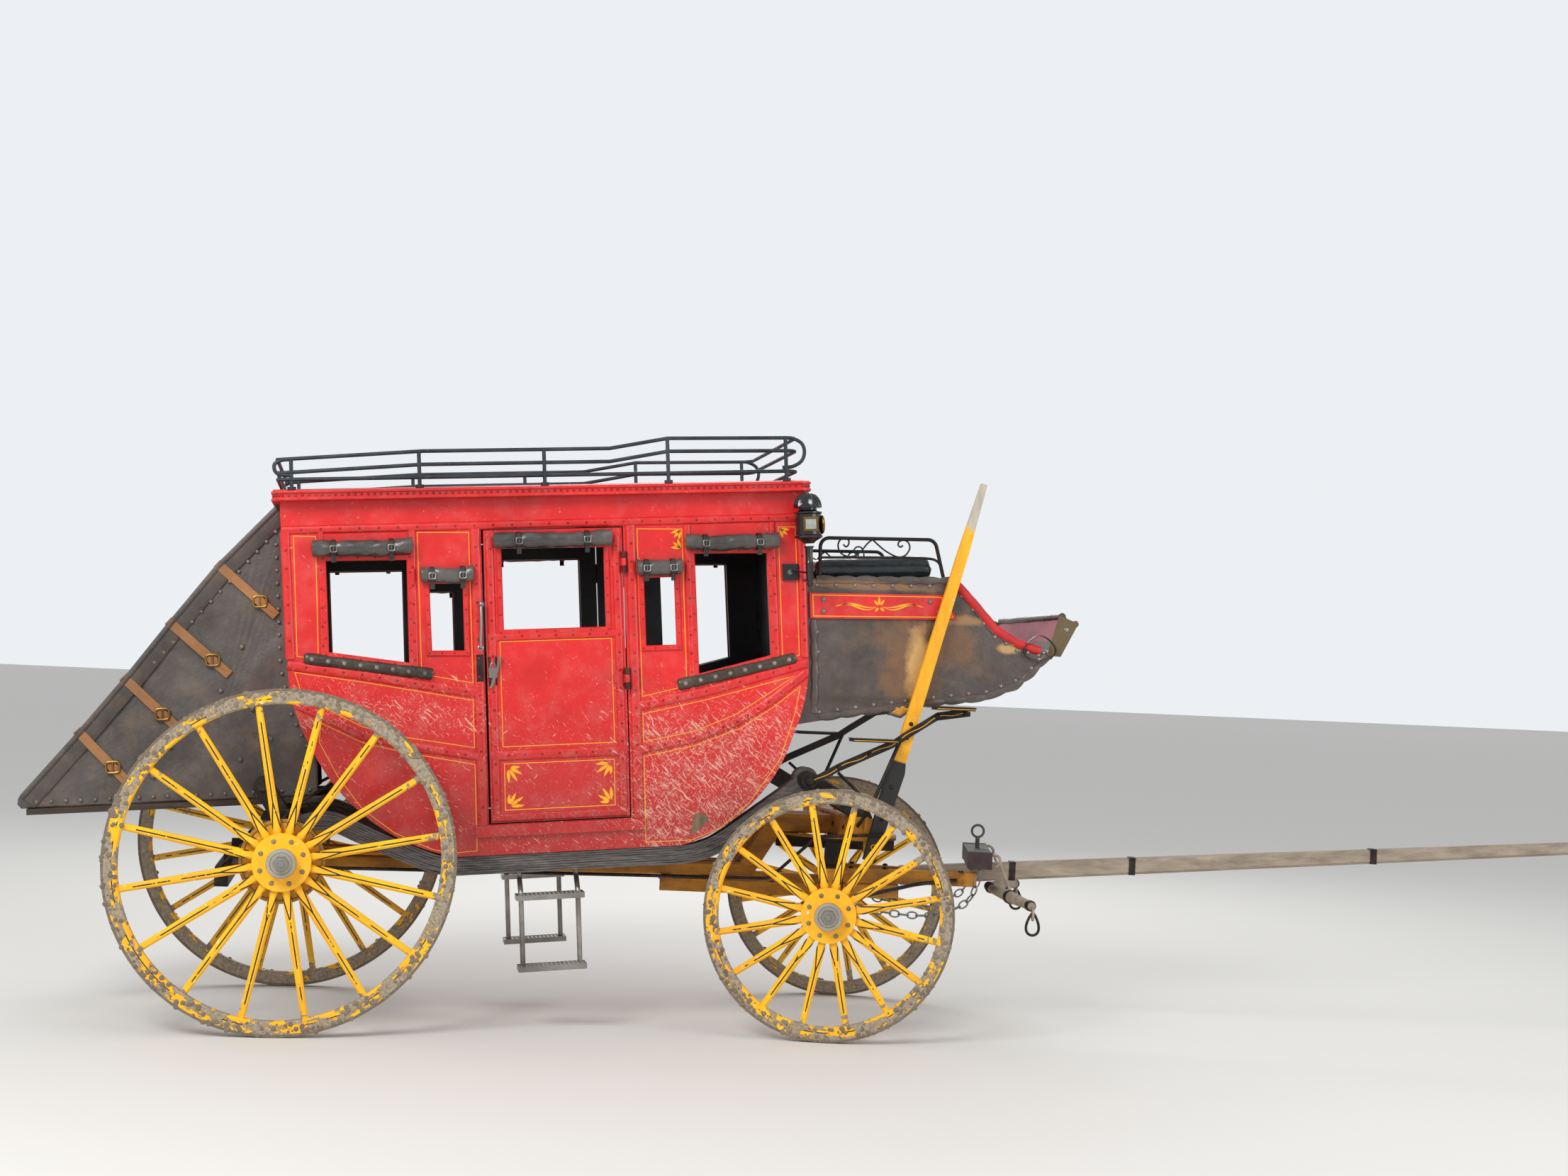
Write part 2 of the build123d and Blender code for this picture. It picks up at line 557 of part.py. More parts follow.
under_lines = [
    ThreePointArc((HALF_WIDTH - WALL, EAVE_Z), (0, EAVE_Z + ROOF_CROWN + 18), (WALL - HALF_WIDTH, EAVE_Z)),
    Line((WALL - HALF_WIDTH, EAVE_Z), (HALF_WIDTH - WALL, EAVE_Z)),
]
under = Pos(BACK_TOP_X + BELLY_WALL, 0, 0) * extrude(
    Plane.YZ * make_face(Wire(under_lines)), FRONT_TOP_X - BACK_TOP_X - 2 * BELLY_WALL
)
keep("roof", roof - under, BODY)

# Roof rack: three rails round the roof's edge on upright posts
RACK_Y = 600.0
RACK_TUBE = 9.0
RACK_BACK_X = -40.0
RACK_FRONT_X = 2395.0
# columns: X and height of the top rail's corners along one side
RACK_TOP = ((RACK_BACK_X, 2700), (617, 2730), (1490, 2730), (1769, 2774), (RACK_FRONT_X, 2768))
POST_X = (RACK_BACK_X + 60, 600.0, 1180.0, 1767.0, 2340.0)
RAIL_DROPS = (0.0, 62.0)
LOW_RAIL_Z = 2608.0


def rail_height(x):
    """The top rail's height above a place along the side."""
    for (back, low), (front, high) in zip(RACK_TOP, RACK_TOP[1:]):
        if back <= x <= front:
            return low + (high - low) * (x - back) / (front - back)
    return RACK_TOP[-1][1]


def ring_rail(side_points, bend):
    """A rail along the left side, across the front and back along the right side."""
    left = [(x, RACK_Y, z) for x, z in side_points]
    right = [(x, -RACK_Y, z) for x, z in reversed(side_points)]
    back_z = side_points[0][1]
    loop = rod(left + right, RACK_TUBE, bend)
    return loop + rod(((RACK_BACK_X, RACK_Y, back_z), (RACK_BACK_X, -RACK_Y, back_z)), RACK_TUBE)


roof_arc_radius = (ROOF_HALF_WIDTH**2 + ROOF_CROWN**2) / (2 * ROOF_CROWN)
roof_at_rack = edge_top + ROOF_CROWN - (roof_arc_radius - math.sqrt(roof_arc_radius**2 - RACK_Y**2))
rack = ring_rail(RACK_TOP, 60)
for drop in RAIL_DROPS[1:]:
    rack += ring_rail([(x, z - drop) for x, z in RACK_TOP], 60)
low_points = ((RACK_BACK_X, LOW_RAIL_Z), (RACK_FRONT_X, LOW_RAIL_Z))
rack += ring_rail(low_points, 60)
for x in POST_X:
    for y in (-RACK_Y, RACK_Y):
        post_low = roof_at_rack + 1
        post_high = rail_height(x)
        rack += Pos(x, y, (post_low + post_high) / 2) * Cylinder(RACK_TUBE, post_high - post_low)
        rack += Pos(x, y, roof_at_rack + 7) * Cylinder(20, 14)
keep("roof_rack", rack - roof, BODY)

# Benches: a board across each end of the cabin with its riser, and their cushions
room = cabin_prism(BELLY_WALL + FACE_GAP, HALF_WIDTH) & section_prism(WALL + FACE_GAP)
BENCH_Z = 1290.0
BENCH_THICK = 28.0
CUSHION_THICK = 100.0
REAR_BENCH_FRONT_X = 500.0
FRONT_BENCH_BACK_X = 1930.0
bench_z = (BENCH_Z - BENCH_THICK, BENCH_Z)
cushion_z = (BENCH_Z + FACE_GAP, BENCH_Z + CUSHION_THICK)
rear_bench = block((-100, REAR_BENCH_FRONT_X), wide, bench_z)
rear_bench += block((REAR_BENCH_FRONT_X - 24, REAR_BENCH_FRONT_X), wide, (0, BENCH_Z - BENCH_THICK))
front_bench = block((FRONT_BENCH_BACK_X, 2500), wide, bench_z)
front_bench += block((FRONT_BENCH_BACK_X, FRONT_BENCH_BACK_X + 24), wide, (0, BENCH_Z - BENCH_THICK))
cushion_wide = (-520, 520)
benches = (rear_bench & room).solids() + (front_bench & room).solids()
keep("benches", Compound(children=benches), BODY)
rear_cushion = block((130, REAR_BENCH_FRONT_X), cushion_wide, cushion_z)
front_cushion = block((FRONT_BENCH_BACK_X, 2290), cushion_wide, cushion_z)
cushions = (rear_cushion & room).solids() + (front_cushion & room).solids()
keep("bench_cushions", Compound(children=cushions), BODY)

# Rear boot: a boarded platform under one sloping leather cover
PLATFORM_Z = (1118.0, 1146.0)
platform = block((-1195, 160), (-BOOT_HALF_WIDTH, BOOT_HALF_WIDTH), PLATFORM_Z) - cabin_outer
keep("rear_boot_platform", platform, BODY)
BOOT_OUTLINE = (
    (BACK_TOP_X, EAVE_Z - 4),
    (BACK_TOP_X - 28, EAVE_Z - 10),
    (-332, 2236),
    (-548, 1982),
    (-754, 1730),
    (-965, 1488),
    (-1225, 1209),
    (-1240, 1180),
    (-1225, PLATFORM_Z[1] + FACE_GAP),
    (300, PLATFORM_Z[1] + FACE_GAP),
    (300, EAVE_Z - 4),
)
BOOT_SKIN = 20.0
inside_shift = Pos(BOOT_SKIN * 1.4, 0, -BOOT_SKIN)
load_space = side_plate(BOOT_OUTLINE, BOOT_SKIN - BOOT_HALF_WIDTH, BOOT_HALF_WIDTH - BOOT_SKIN)
cover = side_plate(BOOT_OUTLINE, -BOOT_HALF_WIDTH, BOOT_HALF_WIDTH) - inside_shift * load_space - cabin_outer
keep("rear_boot_cover", max(cover.solids(), key=lambda solid: solid.volume), BODY)

# Driver's box: two side panels, a swept bottom, the toe board and the seat box
BOX_BOTTOM = ((2300, 1382), (2831, 1443), (3041, 1458), (3311, 1475), (3467, 1526), (3552, 1586), (3640, 1670))
BOX_TOP = ((3586, 1712), (3475, 1740), (3371, 1810), (3209, 2017), (3141, 2069), (2300, 2094))
BOARD = 24.0
box_side = side_plate(BOX_BOTTOM + BOX_TOP, BOX_HALF_WIDTH - BOX_WALL, BOX_HALF_WIDTH) - cabin_outer
box_inner = BOX_HALF_WIDTH - BOX_WALL
raised = [(x - 6, z + BOARD) for x, z in reversed(BOX_BOTTOM)]
box_bottom = side_plate(list(BOX_BOTTOM) + raised, -box_inner, box_inner) - cabin_outer
keep("driver_box_sides", both_sides(box_side), BODY)
TOE_BOARD = ((3640, 1671), (3668, 1656), (3796, 1826), (3740, 1872), (3718, 1850))
toe_board = side_plate(TOE_BOARD, -505, 505)
keep("driver_box_floor", box_bottom + toe_board, BODY)
SEAT_FRONT_X = 3070.0
SEAT_Z = 2072.0
seat_box = block((2300, SEAT_FRONT_X), (-box_inner, box_inner), (SEAT_Z - BOARD, SEAT_Z))
seat_box += block((SEAT_FRONT_X - BOARD, SEAT_FRONT_X), (-box_inner, box_inner), (1400, SEAT_Z - BOARD))
seat_box -= cabin_outer
seat_box -= side_plate(list(BOX_BOTTOM[:3]) + [(3041, 1000), (2300, 1000)], -600, 600)
seat_box -= box_bottom
keep("driver_seat_box", max(seat_box.solids(), key=lambda solid: solid.volume), BODY)
keep("driver_cushion", block((2466, 3088), (-500, 500), (SEAT_Z + FACE_GAP, 2180)), BODY)
side_board = side_plate(((2440, 2021), (3109, 1990), (3175, 1868), (2440, 1898)), BOX_HALF_WIDTH, BOX_HALF_WIDTH + 14)
keep("box_side_boards", both_sides(side_board), BODY)
rail_y = BOX_HALF_WIDTH - BOX_WALL / 2
rail_route = ((2500, rail_y, 2092), (2510, rail_y, 2287), (3084, rail_y, 2263), (3120, rail_y, 2071))
keep("seat_rails", both_sides(rod(rail_route, 9, 45) - box_side), BODY)

# Side lamps on brackets at the cabin's front corners
LAMP_X = 2415.0
LAMP_Y = HALF_WIDTH + 105.0
LAMP_CASE = (2278.0, 2400.0)
LAMP_CASE_RADIUS = 66.0
LAMP_BRIM = (2422.0, 2434.0)
lamp = Pos(LAMP_X, LAMP_Y, sum(LAMP_CASE) / 2) * Cylinder(LAMP_CASE_RADIUS, LAMP_CASE[1] - LAMP_CASE[0])
lamp += Pos(LAMP_X, LAMP_Y, (LAMP_CASE[1] + LAMP_BRIM[0]) / 2) * Cylinder(44, LAMP_BRIM[0] - LAMP_CASE[1])
lamp += Pos(LAMP_X, LAMP_Y, sum(LAMP_BRIM) / 2) * Cylinder(67, LAMP_BRIM[1] - LAMP_BRIM[0])
lamp += Pos(LAMP_X, LAMP_Y, LAMP_BRIM[1] + 33) * Cone(62, 18, 66)
lamp += Pos(LAMP_X, LAMP_Y, LAMP_CASE[0] - 15) * Cone(20, 50, 30)
lamp += Pos(LAMP_X, LAMP_Y, (2042 + LAMP_CASE[0]) / 2) * Cylinder(18, LAMP_CASE[0] - 2042)
arm = block((LAMP_X - 12, LAMP_X + 4), (HALF_WIDTH, LAMP_Y - 50), (2300, 2330))
arm += block((LAMP_X - 12, LAMP_X + 4), (HALF_WIDTH, LAMP_Y), (2060, 2090))
lamp += arm
keep("lamps", both_sides(lamp), BODY)

# Hanging steps below the doors: two tube rails and two pressed treads, bolted under the floor
STEP_Y = 500.0
STEP_TUBE = 12.0
strap_inside = STRAP_Y - STRAP_WIDTH / 2
RAIL_X = (1016.0, 1284.0)
hanging = None
for x in RAIL_X:
    route = (
        (x, STEP_Y, 292),
        (x, STEP_Y, 650),
        (x, strap_inside - STEP_TUBE - 8, 716),
        (x, strap_inside - STEP_TUBE - 8, BELLY_Z - FACE_GAP),
    )
    step_rail = rod(route, STEP_TUBE, 30)
    hanging = step_rail if hanging is None else hanging + step_rail
for z in (300, 632):
    hanging += block((RAIL_X[0] - 22, RAIL_X[1] + 22), (STEP_Y - 40, STEP_Y + 70), (z - 11, z + 11))
keep("side_steps", both_sides(hanging), BODY)

# Fore-carriage, made straight ahead round the kingpin and then steered
keep("front_axle", axle(FRONT_RADIUS), CARRIAGE)
HOUND_LOW = 628.0
HOUND_TOP = 690.0
bed_low = FRONT_RADIUS + BEAM / 2
pin_bore = Pos(0, 0, 900) * Cylinder(KINGPIN_RADIUS + RUNNING_FIT, 2 * (900 - PIN_LOW + 5))


def timber_pair(points, thick, z_low, z_high):
    """Two mirrored timbers that follow a plan-view line, so many millimetres thick."""
    half = thick / 2
    left = [(x, y + half) for x, y in points]
    right = [(x, y - half) for x, y in reversed(points)]
    outline = make_face(Polyline(*left, *right, close=True))
    return both_sides(Pos(0, 0, z_low) * extrude(outline, z_high - z_low))


HOUND_LINE = ((-850, 330), (-250, 275), (60, 235), (330, 150))
hounds = timber_pair(HOUND_LINE, 50, HOUND_LOW, HOUND_TOP)
sway_bar = block((-850, -790), (-420, 420), (HOUND_TOP, HOUND_TOP + 12))
bed = block((-48, 48), (-600, 600), (bed_low, BED_TOP))
bed = chamfer(bed.edges().filter_by(Axis.Y), 10)
bed -= pin_bore
FUTCHELL_LINE = ((48, 150), (430, 74), (720, 74))
futchells = timber_pair(FUTCHELL_LINE, 44, HOUND_TOP + 4, HOUND_TOP + 74)
for timber in hounds.solids():
    bed -= timber
keep("axle_bed", bed, CARRIAGE)

# Turning circle: the iron ring on its block, under the transom's plate
ring_top = TRANSOM_LOW - CIRCLE_THICK - FACE_GAP
ring_low = ring_top - CIRCLE_THICK
turning = block((-45, 45), (-CIRCLE_RADIUS + 10, CIRCLE_RADIUS - 10), (BED_TOP, ring_low))
turning += block((10 - CIRCLE_RADIUS, CIRCLE_RADIUS - 10), (-28, 28), (ring_low - 56, ring_low))
turning -= pin_bore
turning += Pos(0, 0, ring_top - CIRCLE_THICK / 2) * circle
keep("turning_circle", turning, CARRIAGE)

# Pole: a square ash pole that tapers to a round iron ferrule, bolted between the futchells
pole_length = POLE_TIP_X - FERRULE_LENGTH - POLE_BACK_X
back_section = chamfer(Rectangle(POLE_BACK_SIZE, POLE_BACK_SIZE).vertices(), 12)
tip_section = chamfer(Rectangle(2 * POLE_TIP_RADIUS, 2 * POLE_TIP_RADIUS).vertices(), 12)
pole = loft([back_section, Pos(0, 0, pole_length) * tip_section], ruled=True)
pole = Rot(0, 90 - POLE_RISE_DEG, 0) * Pos(0, 0, POLE_BACK_X - POLE_LEVEL_X) * pole
pole = Pos(POLE_LEVEL_X, 0, POLE_Z) * pole
POLE_BOLT_X = 640.0
pole_bolt_z = HOUND_TOP + 39
pole_bolt = Pos(POLE_BOLT_X, 0, pole_bolt_z) * Rot(90, 0, 0) * Cylinder(11, 230)
keep("pole", pole - Pos(POLE_BOLT_X, 0, pole_bolt_z) * Rot(90, 0, 0) * Cylinder(11 + RUNNING_FIT, 300), CARRIAGE)
futchell_frame = futchells.solids()[0] + futchells.solids()[1] + pole_bolt
hound_frame = hounds.solids()[0] + hounds.solids()[1] + sway_bar
keep("hounds", Compound(children=[futchell_frame.solid(), hound_frame.solid()]), CARRIAGE)
pole_line = Pos(POLE_LEVEL_X, 0, POLE_Z) * Rot(0, 90 - POLE_RISE_DEG, 0)
ferrule_start = POLE_TIP_X - FERRULE_LENGTH - POLE_LEVEL_X
ferrule = Pos(0, 0, ferrule_start + FERRULE_LENGTH / 2) * Cylinder(POLE_TIP_RADIUS, FERRULE_LENGTH)
keep("pole_ferrule", ferrule, CARRIAGE * pole_line)

# Evener: the cross bar on the pole, its pin with a pull ring, and a hook ring at each end
EVENER_X = 722.0
EVENER_Z = (806.0, 884.0)
EVENER_HALF = 340.0
evener = block((EVENER_X - 58, EVENER_X + 58), (-EVENER_HALF, EVENER_HALF), EVENER_Z)
evener = chamfer(evener.edges().filter_by(Axis.Z), 18) - pole
evener += Pos(EVENER_X, 0, EVENER_Z[1] + 30) * Cylinder(11, 60)
evener += Pos(EVENER_X, 0, EVENER_Z[1] + 60 + 26) * Rot(90, 0, 0) * Torus(30, 6)
keep("evener", evener, CARRIAGE)
HOOK_Y = EVENER_HALF - 30
hook_ring = Pos(EVENER_X + 58 + 12, HOOK_Y, 846) * Rot(90, 0, 0) * Torus(30, 7)
hook_ring -= evener


def singletree_bar():
    """A turned bar, thickest at its middle, with an iron hook eye at the outer end."""
    start = Vector(790, 45, 690)
    end = Vector(962, 610, 662)
    line = end - start
    plane = Plane(origin=start, z_dir=line)
    # columns: share of the length, radius there
    widths = ((0.0, 19.0), (0.5, 30.0), (1.0, 19.0))
    sections = [Plane(origin=start + line * share, z_dir=line) * Circle(radius) for share, radius in widths]
    bar = loft(sections, ruled=True)
    bar += Plane(origin=end - line.normalized() * 40, z_dir=line) * Cylinder(24, 50)
    bar += Pos(end.X + 6, end.Y + 8, end.Z - 36) * Rot(0, 90, 0) * Torus(28, 6)
    return bar


tree = singletree_bar()
link_top = (EVENER_X + 58 + 42, HOOK_Y, 840)
link_low = (878, 330, 700)
hanger = rod((link_top, link_low), 7)
keep("singletrees", both_sides(tree + hanger + hook_ring), CARRIAGE)
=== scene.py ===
import math

import bmesh
import bpy
import numpy as np
from mathutils import Matrix, Vector


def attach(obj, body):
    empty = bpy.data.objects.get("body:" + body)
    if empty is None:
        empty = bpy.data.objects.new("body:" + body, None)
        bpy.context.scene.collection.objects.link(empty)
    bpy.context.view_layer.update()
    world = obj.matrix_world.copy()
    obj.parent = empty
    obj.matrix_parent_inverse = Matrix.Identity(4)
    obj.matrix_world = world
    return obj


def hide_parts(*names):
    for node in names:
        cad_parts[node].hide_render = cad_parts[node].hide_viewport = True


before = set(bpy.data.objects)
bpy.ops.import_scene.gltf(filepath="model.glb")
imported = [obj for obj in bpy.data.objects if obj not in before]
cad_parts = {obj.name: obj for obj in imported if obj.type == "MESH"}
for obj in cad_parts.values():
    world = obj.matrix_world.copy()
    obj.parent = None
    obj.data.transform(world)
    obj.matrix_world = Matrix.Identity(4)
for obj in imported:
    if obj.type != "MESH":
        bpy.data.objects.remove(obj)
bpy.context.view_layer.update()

# Camera, floor and light. The coach is seen from its right side at eye height, a little from behind the front wheel.
# The floor is one pale sheet, and three wide soft lamps light the coach from above and from both ends.
CAMERA_AT = Vector((-2.2914, -10.5008, 1.6435))
CAMERA_YAW, CAMERA_PITCH, CAMERA_ROLL = 0.1952, 0.0481, 0.0441
LENS = 48.35
FLOOR_HALF = 400
level = Vector((math.cos(CAMERA_YAW), -math.sin(CAMERA_YAW), 0))
ahead = Vector((math.sin(CAMERA_YAW), math.cos(CAMERA_YAW), 0)) * math.cos(CAMERA_PITCH)
ahead.z = math.sin(CAMERA_PITCH)
above = level.cross(ahead)
right = math.cos(CAMERA_ROLL) * level + math.sin(CAMERA_ROLL) * above
up = math.cos(CAMERA_ROLL) * above - math.sin(CAMERA_ROLL) * level
camera = bpy.data.objects.new("camera", bpy.data.cameras.new("camera"))
camera.data.clip_end = 900.0
camera.data.lens = LENS
camera.matrix_world = Matrix((right, up, -ahead)).transposed().to_4x4()
camera.matrix_world.translation = CAMERA_AT
bpy.context.scene.collection.objects.link(camera)
bpy.context.scene.camera = camera


def fill(tree, target, values):
    """Sets a node's inputs to the values, or links them where a socket is given."""
    for key, value in values.items():
        if isinstance(value, bpy.types.NodeSocket):
            tree.links.new(value, target.inputs[key])
        else:
            target.inputs[key].default_value = value
    return target


def node(tree, kind, values=(), **settings):
    """Adds one shader node. Settings are its own properties; values fill its inputs."""
    new = tree.nodes.new("ShaderNode" + kind)
    for key, value in settings.items():
        setattr(new, key, value)
    return fill(tree, new, dict(values))


def colour(text):
    """A written sRGB colour as linear light: each channel c gives ((c + 0.055) / 1.055) ** 2.4."""
    parts = [int(text[i:i + 2], 16) / 255 for i in (1, 3, 5)]
    return (*[p / 12.92 if p <= 0.04045 else ((p + 0.055) / 1.055) ** 2.4 for p in parts], 1.0)


def calc(tree, operation, *values):
    """One step of arithmetic on numbers."""
    return node(tree, "Math", dict(enumerate(values)), operation=operation).outputs[0]


def vector(tree, operation, *values):
    """One step of arithmetic on vectors; a dot product and a length give a number."""
    result = node(tree, "VectorMath", dict(enumerate(values)), operation=operation)
    return result.outputs["Value" if operation in ("DOT_PRODUCT", "LENGTH") else 0]


def ramp(tree, value, start, end, low=0.0, high=1.0, **settings):
    """Low up to the start, high from the end on, and a slope between them."""
    return node(tree, "MapRange", {0: value, 1: start, 2: end, 3: low, 4: high}, **settings).outputs[0]


def mix(tree, share, first, second):
    """The first colour with this share of the second; each is a written colour or a socket."""
    ends = [colour(c) if isinstance(c, str) else c for c in (first, second)]
    return node(tree, "Mix", {0: share, 6: ends[0], 7: ends[1]}, data_type="RGBA").outputs[2]


def noise(tree, place, scale, detail, roughness=0.5, **more):
    """A cloudy field about 0.5, read at a place."""
    values = {"Vector": place, "Scale": scale, "Detail": detail, "Roughness": roughness, **more}
    return node(tree, "TexNoise", values).outputs[0]


def parts_of(material):
    """A material's node tree, its shader, and the place its points are read at in the row frame's own metres."""
    material.use_nodes = True
    tree = material.node_tree
    return tree, tree.nodes["Principled BSDF"], node(tree, "TexCoord").outputs["Object"]


def lay_over(tree, share, coat):
    """Lays a colour over the one that the shader has so far."""
    base = tree.nodes["Principled BSDF"].inputs["Base Color"]
    tree.links.new(mix(tree, share, base.links[0].from_socket, coat), base)


floor_material = bpy.data.materials.new("pale_floor")
floor_material.use_nodes = True
tree = floor_material.node_tree
grain = node(tree, "TexNoise", {"Scale": 3.0, "Detail": 5.0}).outputs[0]
fill(tree, tree.nodes["Principled BSDF"], {"Base Color": mix(tree, grain, "#D9D7D2", "#E3E1DC"), "Roughness": 0.85})
floor_mesh = bpy.data.meshes.new("floor")
corners = [(FLOOR_HALF * a, FLOOR_HALF * b, -0.002) for a, b in ((-1, -1), (1, -1), (1, 1), (-1, 1))]
floor_mesh.from_pydata(corners, [], [(0, 1, 2, 3)])
floor_mesh.materials.append(floor_material)
floor = bpy.data.objects.new("floor", floor_mesh)
bpy.context.scene.collection.objects.link(floor)

world = bpy.data.worlds.new("soft_sky")
world.use_nodes = True
sky = world.node_tree
lighting = fill(sky, sky.nodes["Background"], {"Color": (0.88, 0.90, 0.93, 1), "Strength": 0.72})
rays = node(sky, "LightPath").outputs
seen = calc(sky, "MAXIMUM", rays["Is Camera Ray"], rays["Is Transmission Ray"])
pale = node(sky, "Background", {"Color": (0.84, 0.87, 0.90, 1), "Strength": 1.0})
either = node(sky, "MixShader", {0: seen, 1: lighting.outputs[0], 2: pale.outputs[0]})
fill(sky, sky.nodes["World Output"], {"Surface": either.outputs[0]})
bpy.context.scene.world = world
bpy.context.scene.view_settings.view_transform = "Standard"
# columns: name, place, aimed at, width, watts
LAMPS = (
    ("key_lamp", (-6.5, -7.5, 7.5), (0.0, 0.0, 1.2), 4.0, 760.0),
    ("fill_lamp", (6.5, -7.0, 4.5), (0.5, 0.0, 1.0), 5.0, 230.0),
    ("back_lamp", (1.0, 8.0, 7.0), (0.0, 0.0, 1.2), 5.0, 330.0),
)
for name, place, target, width, watts in LAMPS:
    light = bpy.data.lights.new(name, "AREA")
    light.energy = watts
    light.size = width
    lamp = bpy.data.objects.new(name, light)
    lamp.matrix_world = (Vector(target) - Vector(place)).to_track_quat("-Z", "Y").to_matrix().to_4x4()
    lamp.matrix_world.translation = place
    bpy.context.scene.collection.objects.link(lamp)


# Cabin panels, floor, ends and doors. They are boards under many coats of red coach paint, screwed to the frame,
# now dusty, scratched and splashed with whitish mud, most of all along the low front quarter.
def finish(name, main, deep, dirt="#8E7F6C", low=(0.35, 1.25), dirty=0.5, chips=("#D8CDBB", 0.0), rough=(0.35, 0.7),
           metal=0.0, stretch=(1, 1, 1), grain=14.0, bump=0.12, wrinkle=0.0, coat=0.0):
    """A worn surface read from the row frame's own metres. Two close colours are mixed by a broad noise; dirt follows a
    finer noise and grows stronger between the given heights downwards; small chips show the colour under the paint."""
    material = bpy.data.materials.new(name)
    tree, surface, place = parts_of(material)
    run = node(tree, "Mapping", {0: place, 3: stretch}).outputs[0]
    fine = noise(tree, run, grain, 9.0, 0.72)
    first = mix(tree, ramp(tree, noise(tree, run, 2.6, 6.0, 0.65), 0.35, 0.68), main, deep)
    lowness = ramp(tree, node(tree, "SeparateXYZ", {0: place}).outputs[2], *low, 1.0, 0.25)
    soiled = calc(tree, "MULTIPLY", ramp(tree, fine, 0.47, 0.70), lowness)
    amount = calc(tree, "MULTIPLY", soiled, dirty)
    second = mix(tree, amount, first, dirt)
    under, chip_share = chips
    edge = 0.76 - 0.12 * chip_share
    spots = ramp(tree, noise(tree, place, 46.0, 4.0, 0.6), edge, edge + 0.03)
    chipped = calc(tree, "MULTIPLY", spots, 1.0 if chip_share else 0.0)
    gloss = calc(tree, "MAXIMUM", ramp(tree, fine, 0.3, 0.7, *rough), amount)
    relief = fine
    if wrinkle:
        cells = node(tree, "TexVoronoi", {"Vector": place, "Scale": 85.0}, feature="SMOOTH_F1").outputs[0]
        crease = calc(tree, "MULTIPLY_ADD", cells, 0.5, noise(tree, run, 7.0, 7.0, Distortion=1.4))
        relief = calc(tree, "MULTIPLY_ADD", crease, wrinkle, fine)
    bumped = node(tree, "Bump", {"Strength": bump, "Distance": 0.004, "Height": relief}).outputs[0]
    fill(tree, surface, {"Base Color": mix(tree, chipped, second, under), "Roughness": gloss, "Metallic": metal,
                         "Coat Weight": coat, "Coat Roughness": 0.25, "Normal": bumped})
    return material


def paint(material, *names):
    """Gives CAD nodes a material."""
    for name in names:
        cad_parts[name].data.materials.clear()
        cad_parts[name].data.materials.append(material)


# columns: slope of the flecks, how finely the noise is drawn along x, y and z
FLECKS = (
    (-0.72, (12, 30, 105)),
    (-1.02, (17, 30, 170)),
    (-0.46, (19, 30, 150)),
    (0.85, (24, 30, 190)),
    (0.0, (150, 90, 150)),
)


def scratched(material, strength):
    """Lays five sets of pale flecks over a finish. Each is a bent noise stretched to short thin strokes along one slope
    and cut off at a level. The level falls, so that flecks thicken, towards the ground and towards the front wheel's
    splash. Below the door's middle the red under them darkens: painted shade where the lower body curves under."""
    tree, shader, here = parts_of(material)
    x, y, z = node(tree, "SeparateXYZ", {0: here}).outputs
    low = ramp(tree, z, 1.84, 1.40, interpolation_type="SMOOTHSTEP")
    fore = ramp(tree, x, -1.22, -0.9, 0.42, 1.0, interpolation_type="SMOOTHSTEP")
    splash = calc(tree, "MULTIPLY", ramp(tree, x, -1.64, -1.74, high=0.85), ramp(tree, z, 1.27, 1.40))
    weight = calc(tree, "MULTIPLY", low, calc(tree, "MAXIMUM", fore, splash))
    weight = calc(tree, "MULTIPLY_ADD", noise(tree, here, 3.2, 3.0), 0.5, weight)
    level = ramp(tree, weight, 0.12, 1.30, 0.735, 0.605)
    drift = node(tree, "TexNoise", {"Vector": here, "Scale": 4.5, "Detail": 2.0}).outputs["Color"]
    bent = vector(tree, "MULTIPLY_ADD", drift, (0.09, 0.09, 0.09), here)
    total = None
    for slope, scale in FLECKS:
        turned = node(tree, "Mapping", {0: bent, 2: (0.0, slope, 0.0)}).outputs[0]
        drawn = node(tree, "Mapping", {0: turned, 3: scale}).outputs[0]
        mark = ramp(tree, calc(tree, "SUBTRACT", noise(tree, drawn, 1.0, 3.0, 0.6), level), 0.0, 0.045)
        total = calc(tree, "MAXIMUM", total, mark) if total else mark
    # Painted shade: the red darkens towards the bottom, where the lower body curves under.
    lay_over(tree, ramp(tree, z, 1.55, 1.0, high=0.62), "#8A1410")
    lay_over(tree, calc(tree, "MULTIPLY", total, strength), "#DFBCA8")
    return material


shell = scratched(finish("red_panel_paint", "#DD1D1C", "#C41615", "#CDB5A8", (0.75, 1.6), 0.3, ("#E3B9AA", 0.3),
                         (0.24, 0.5), grain=9, coat=0.3), 0.72)
# Inside, the same boards are painted near-black, as painted shade of the dark cabin: there a face looks towards
# the cabin's middle.
CABIN_MIDDLE = (-1.41, 0.0, 1.68)
tree, shader, here = parts_of(shell)
normal = node(tree, "TexCoord").outputs["Normal"]
facing = vector(tree, "DOT_PRODUCT", vector(tree, "SUBTRACT", here, CABIN_MIDDLE), normal)
lay_over(tree, ramp(tree, facing, -0.14, -0.18), "#1B100E")
paint(shell, "cabin_side_left", "cabin_side_right", "door_left", "door_right", "cabin_back", "cabin_front",
      "cabin_floor")


# Mouldings and battens. Thin rounded timber strips in the coach's red are pinned over the panel joints, with rows of
# small dome-headed screws along them.
REAR_AXLE = 2603
BODY_LEAN = math.radians(4.6)
LEAN_U, LEAN_W = 1250, 1600
WALL_HALF, WALL_ARC = 600, 5819.5
BODY_SIDES = ((-1, "right"), (1, "left"))


def spread(*values):
    """Numbers and arrays brought to one shape."""
    return np.broadcast_arrays(*[np.asarray(v, float) for v in values])


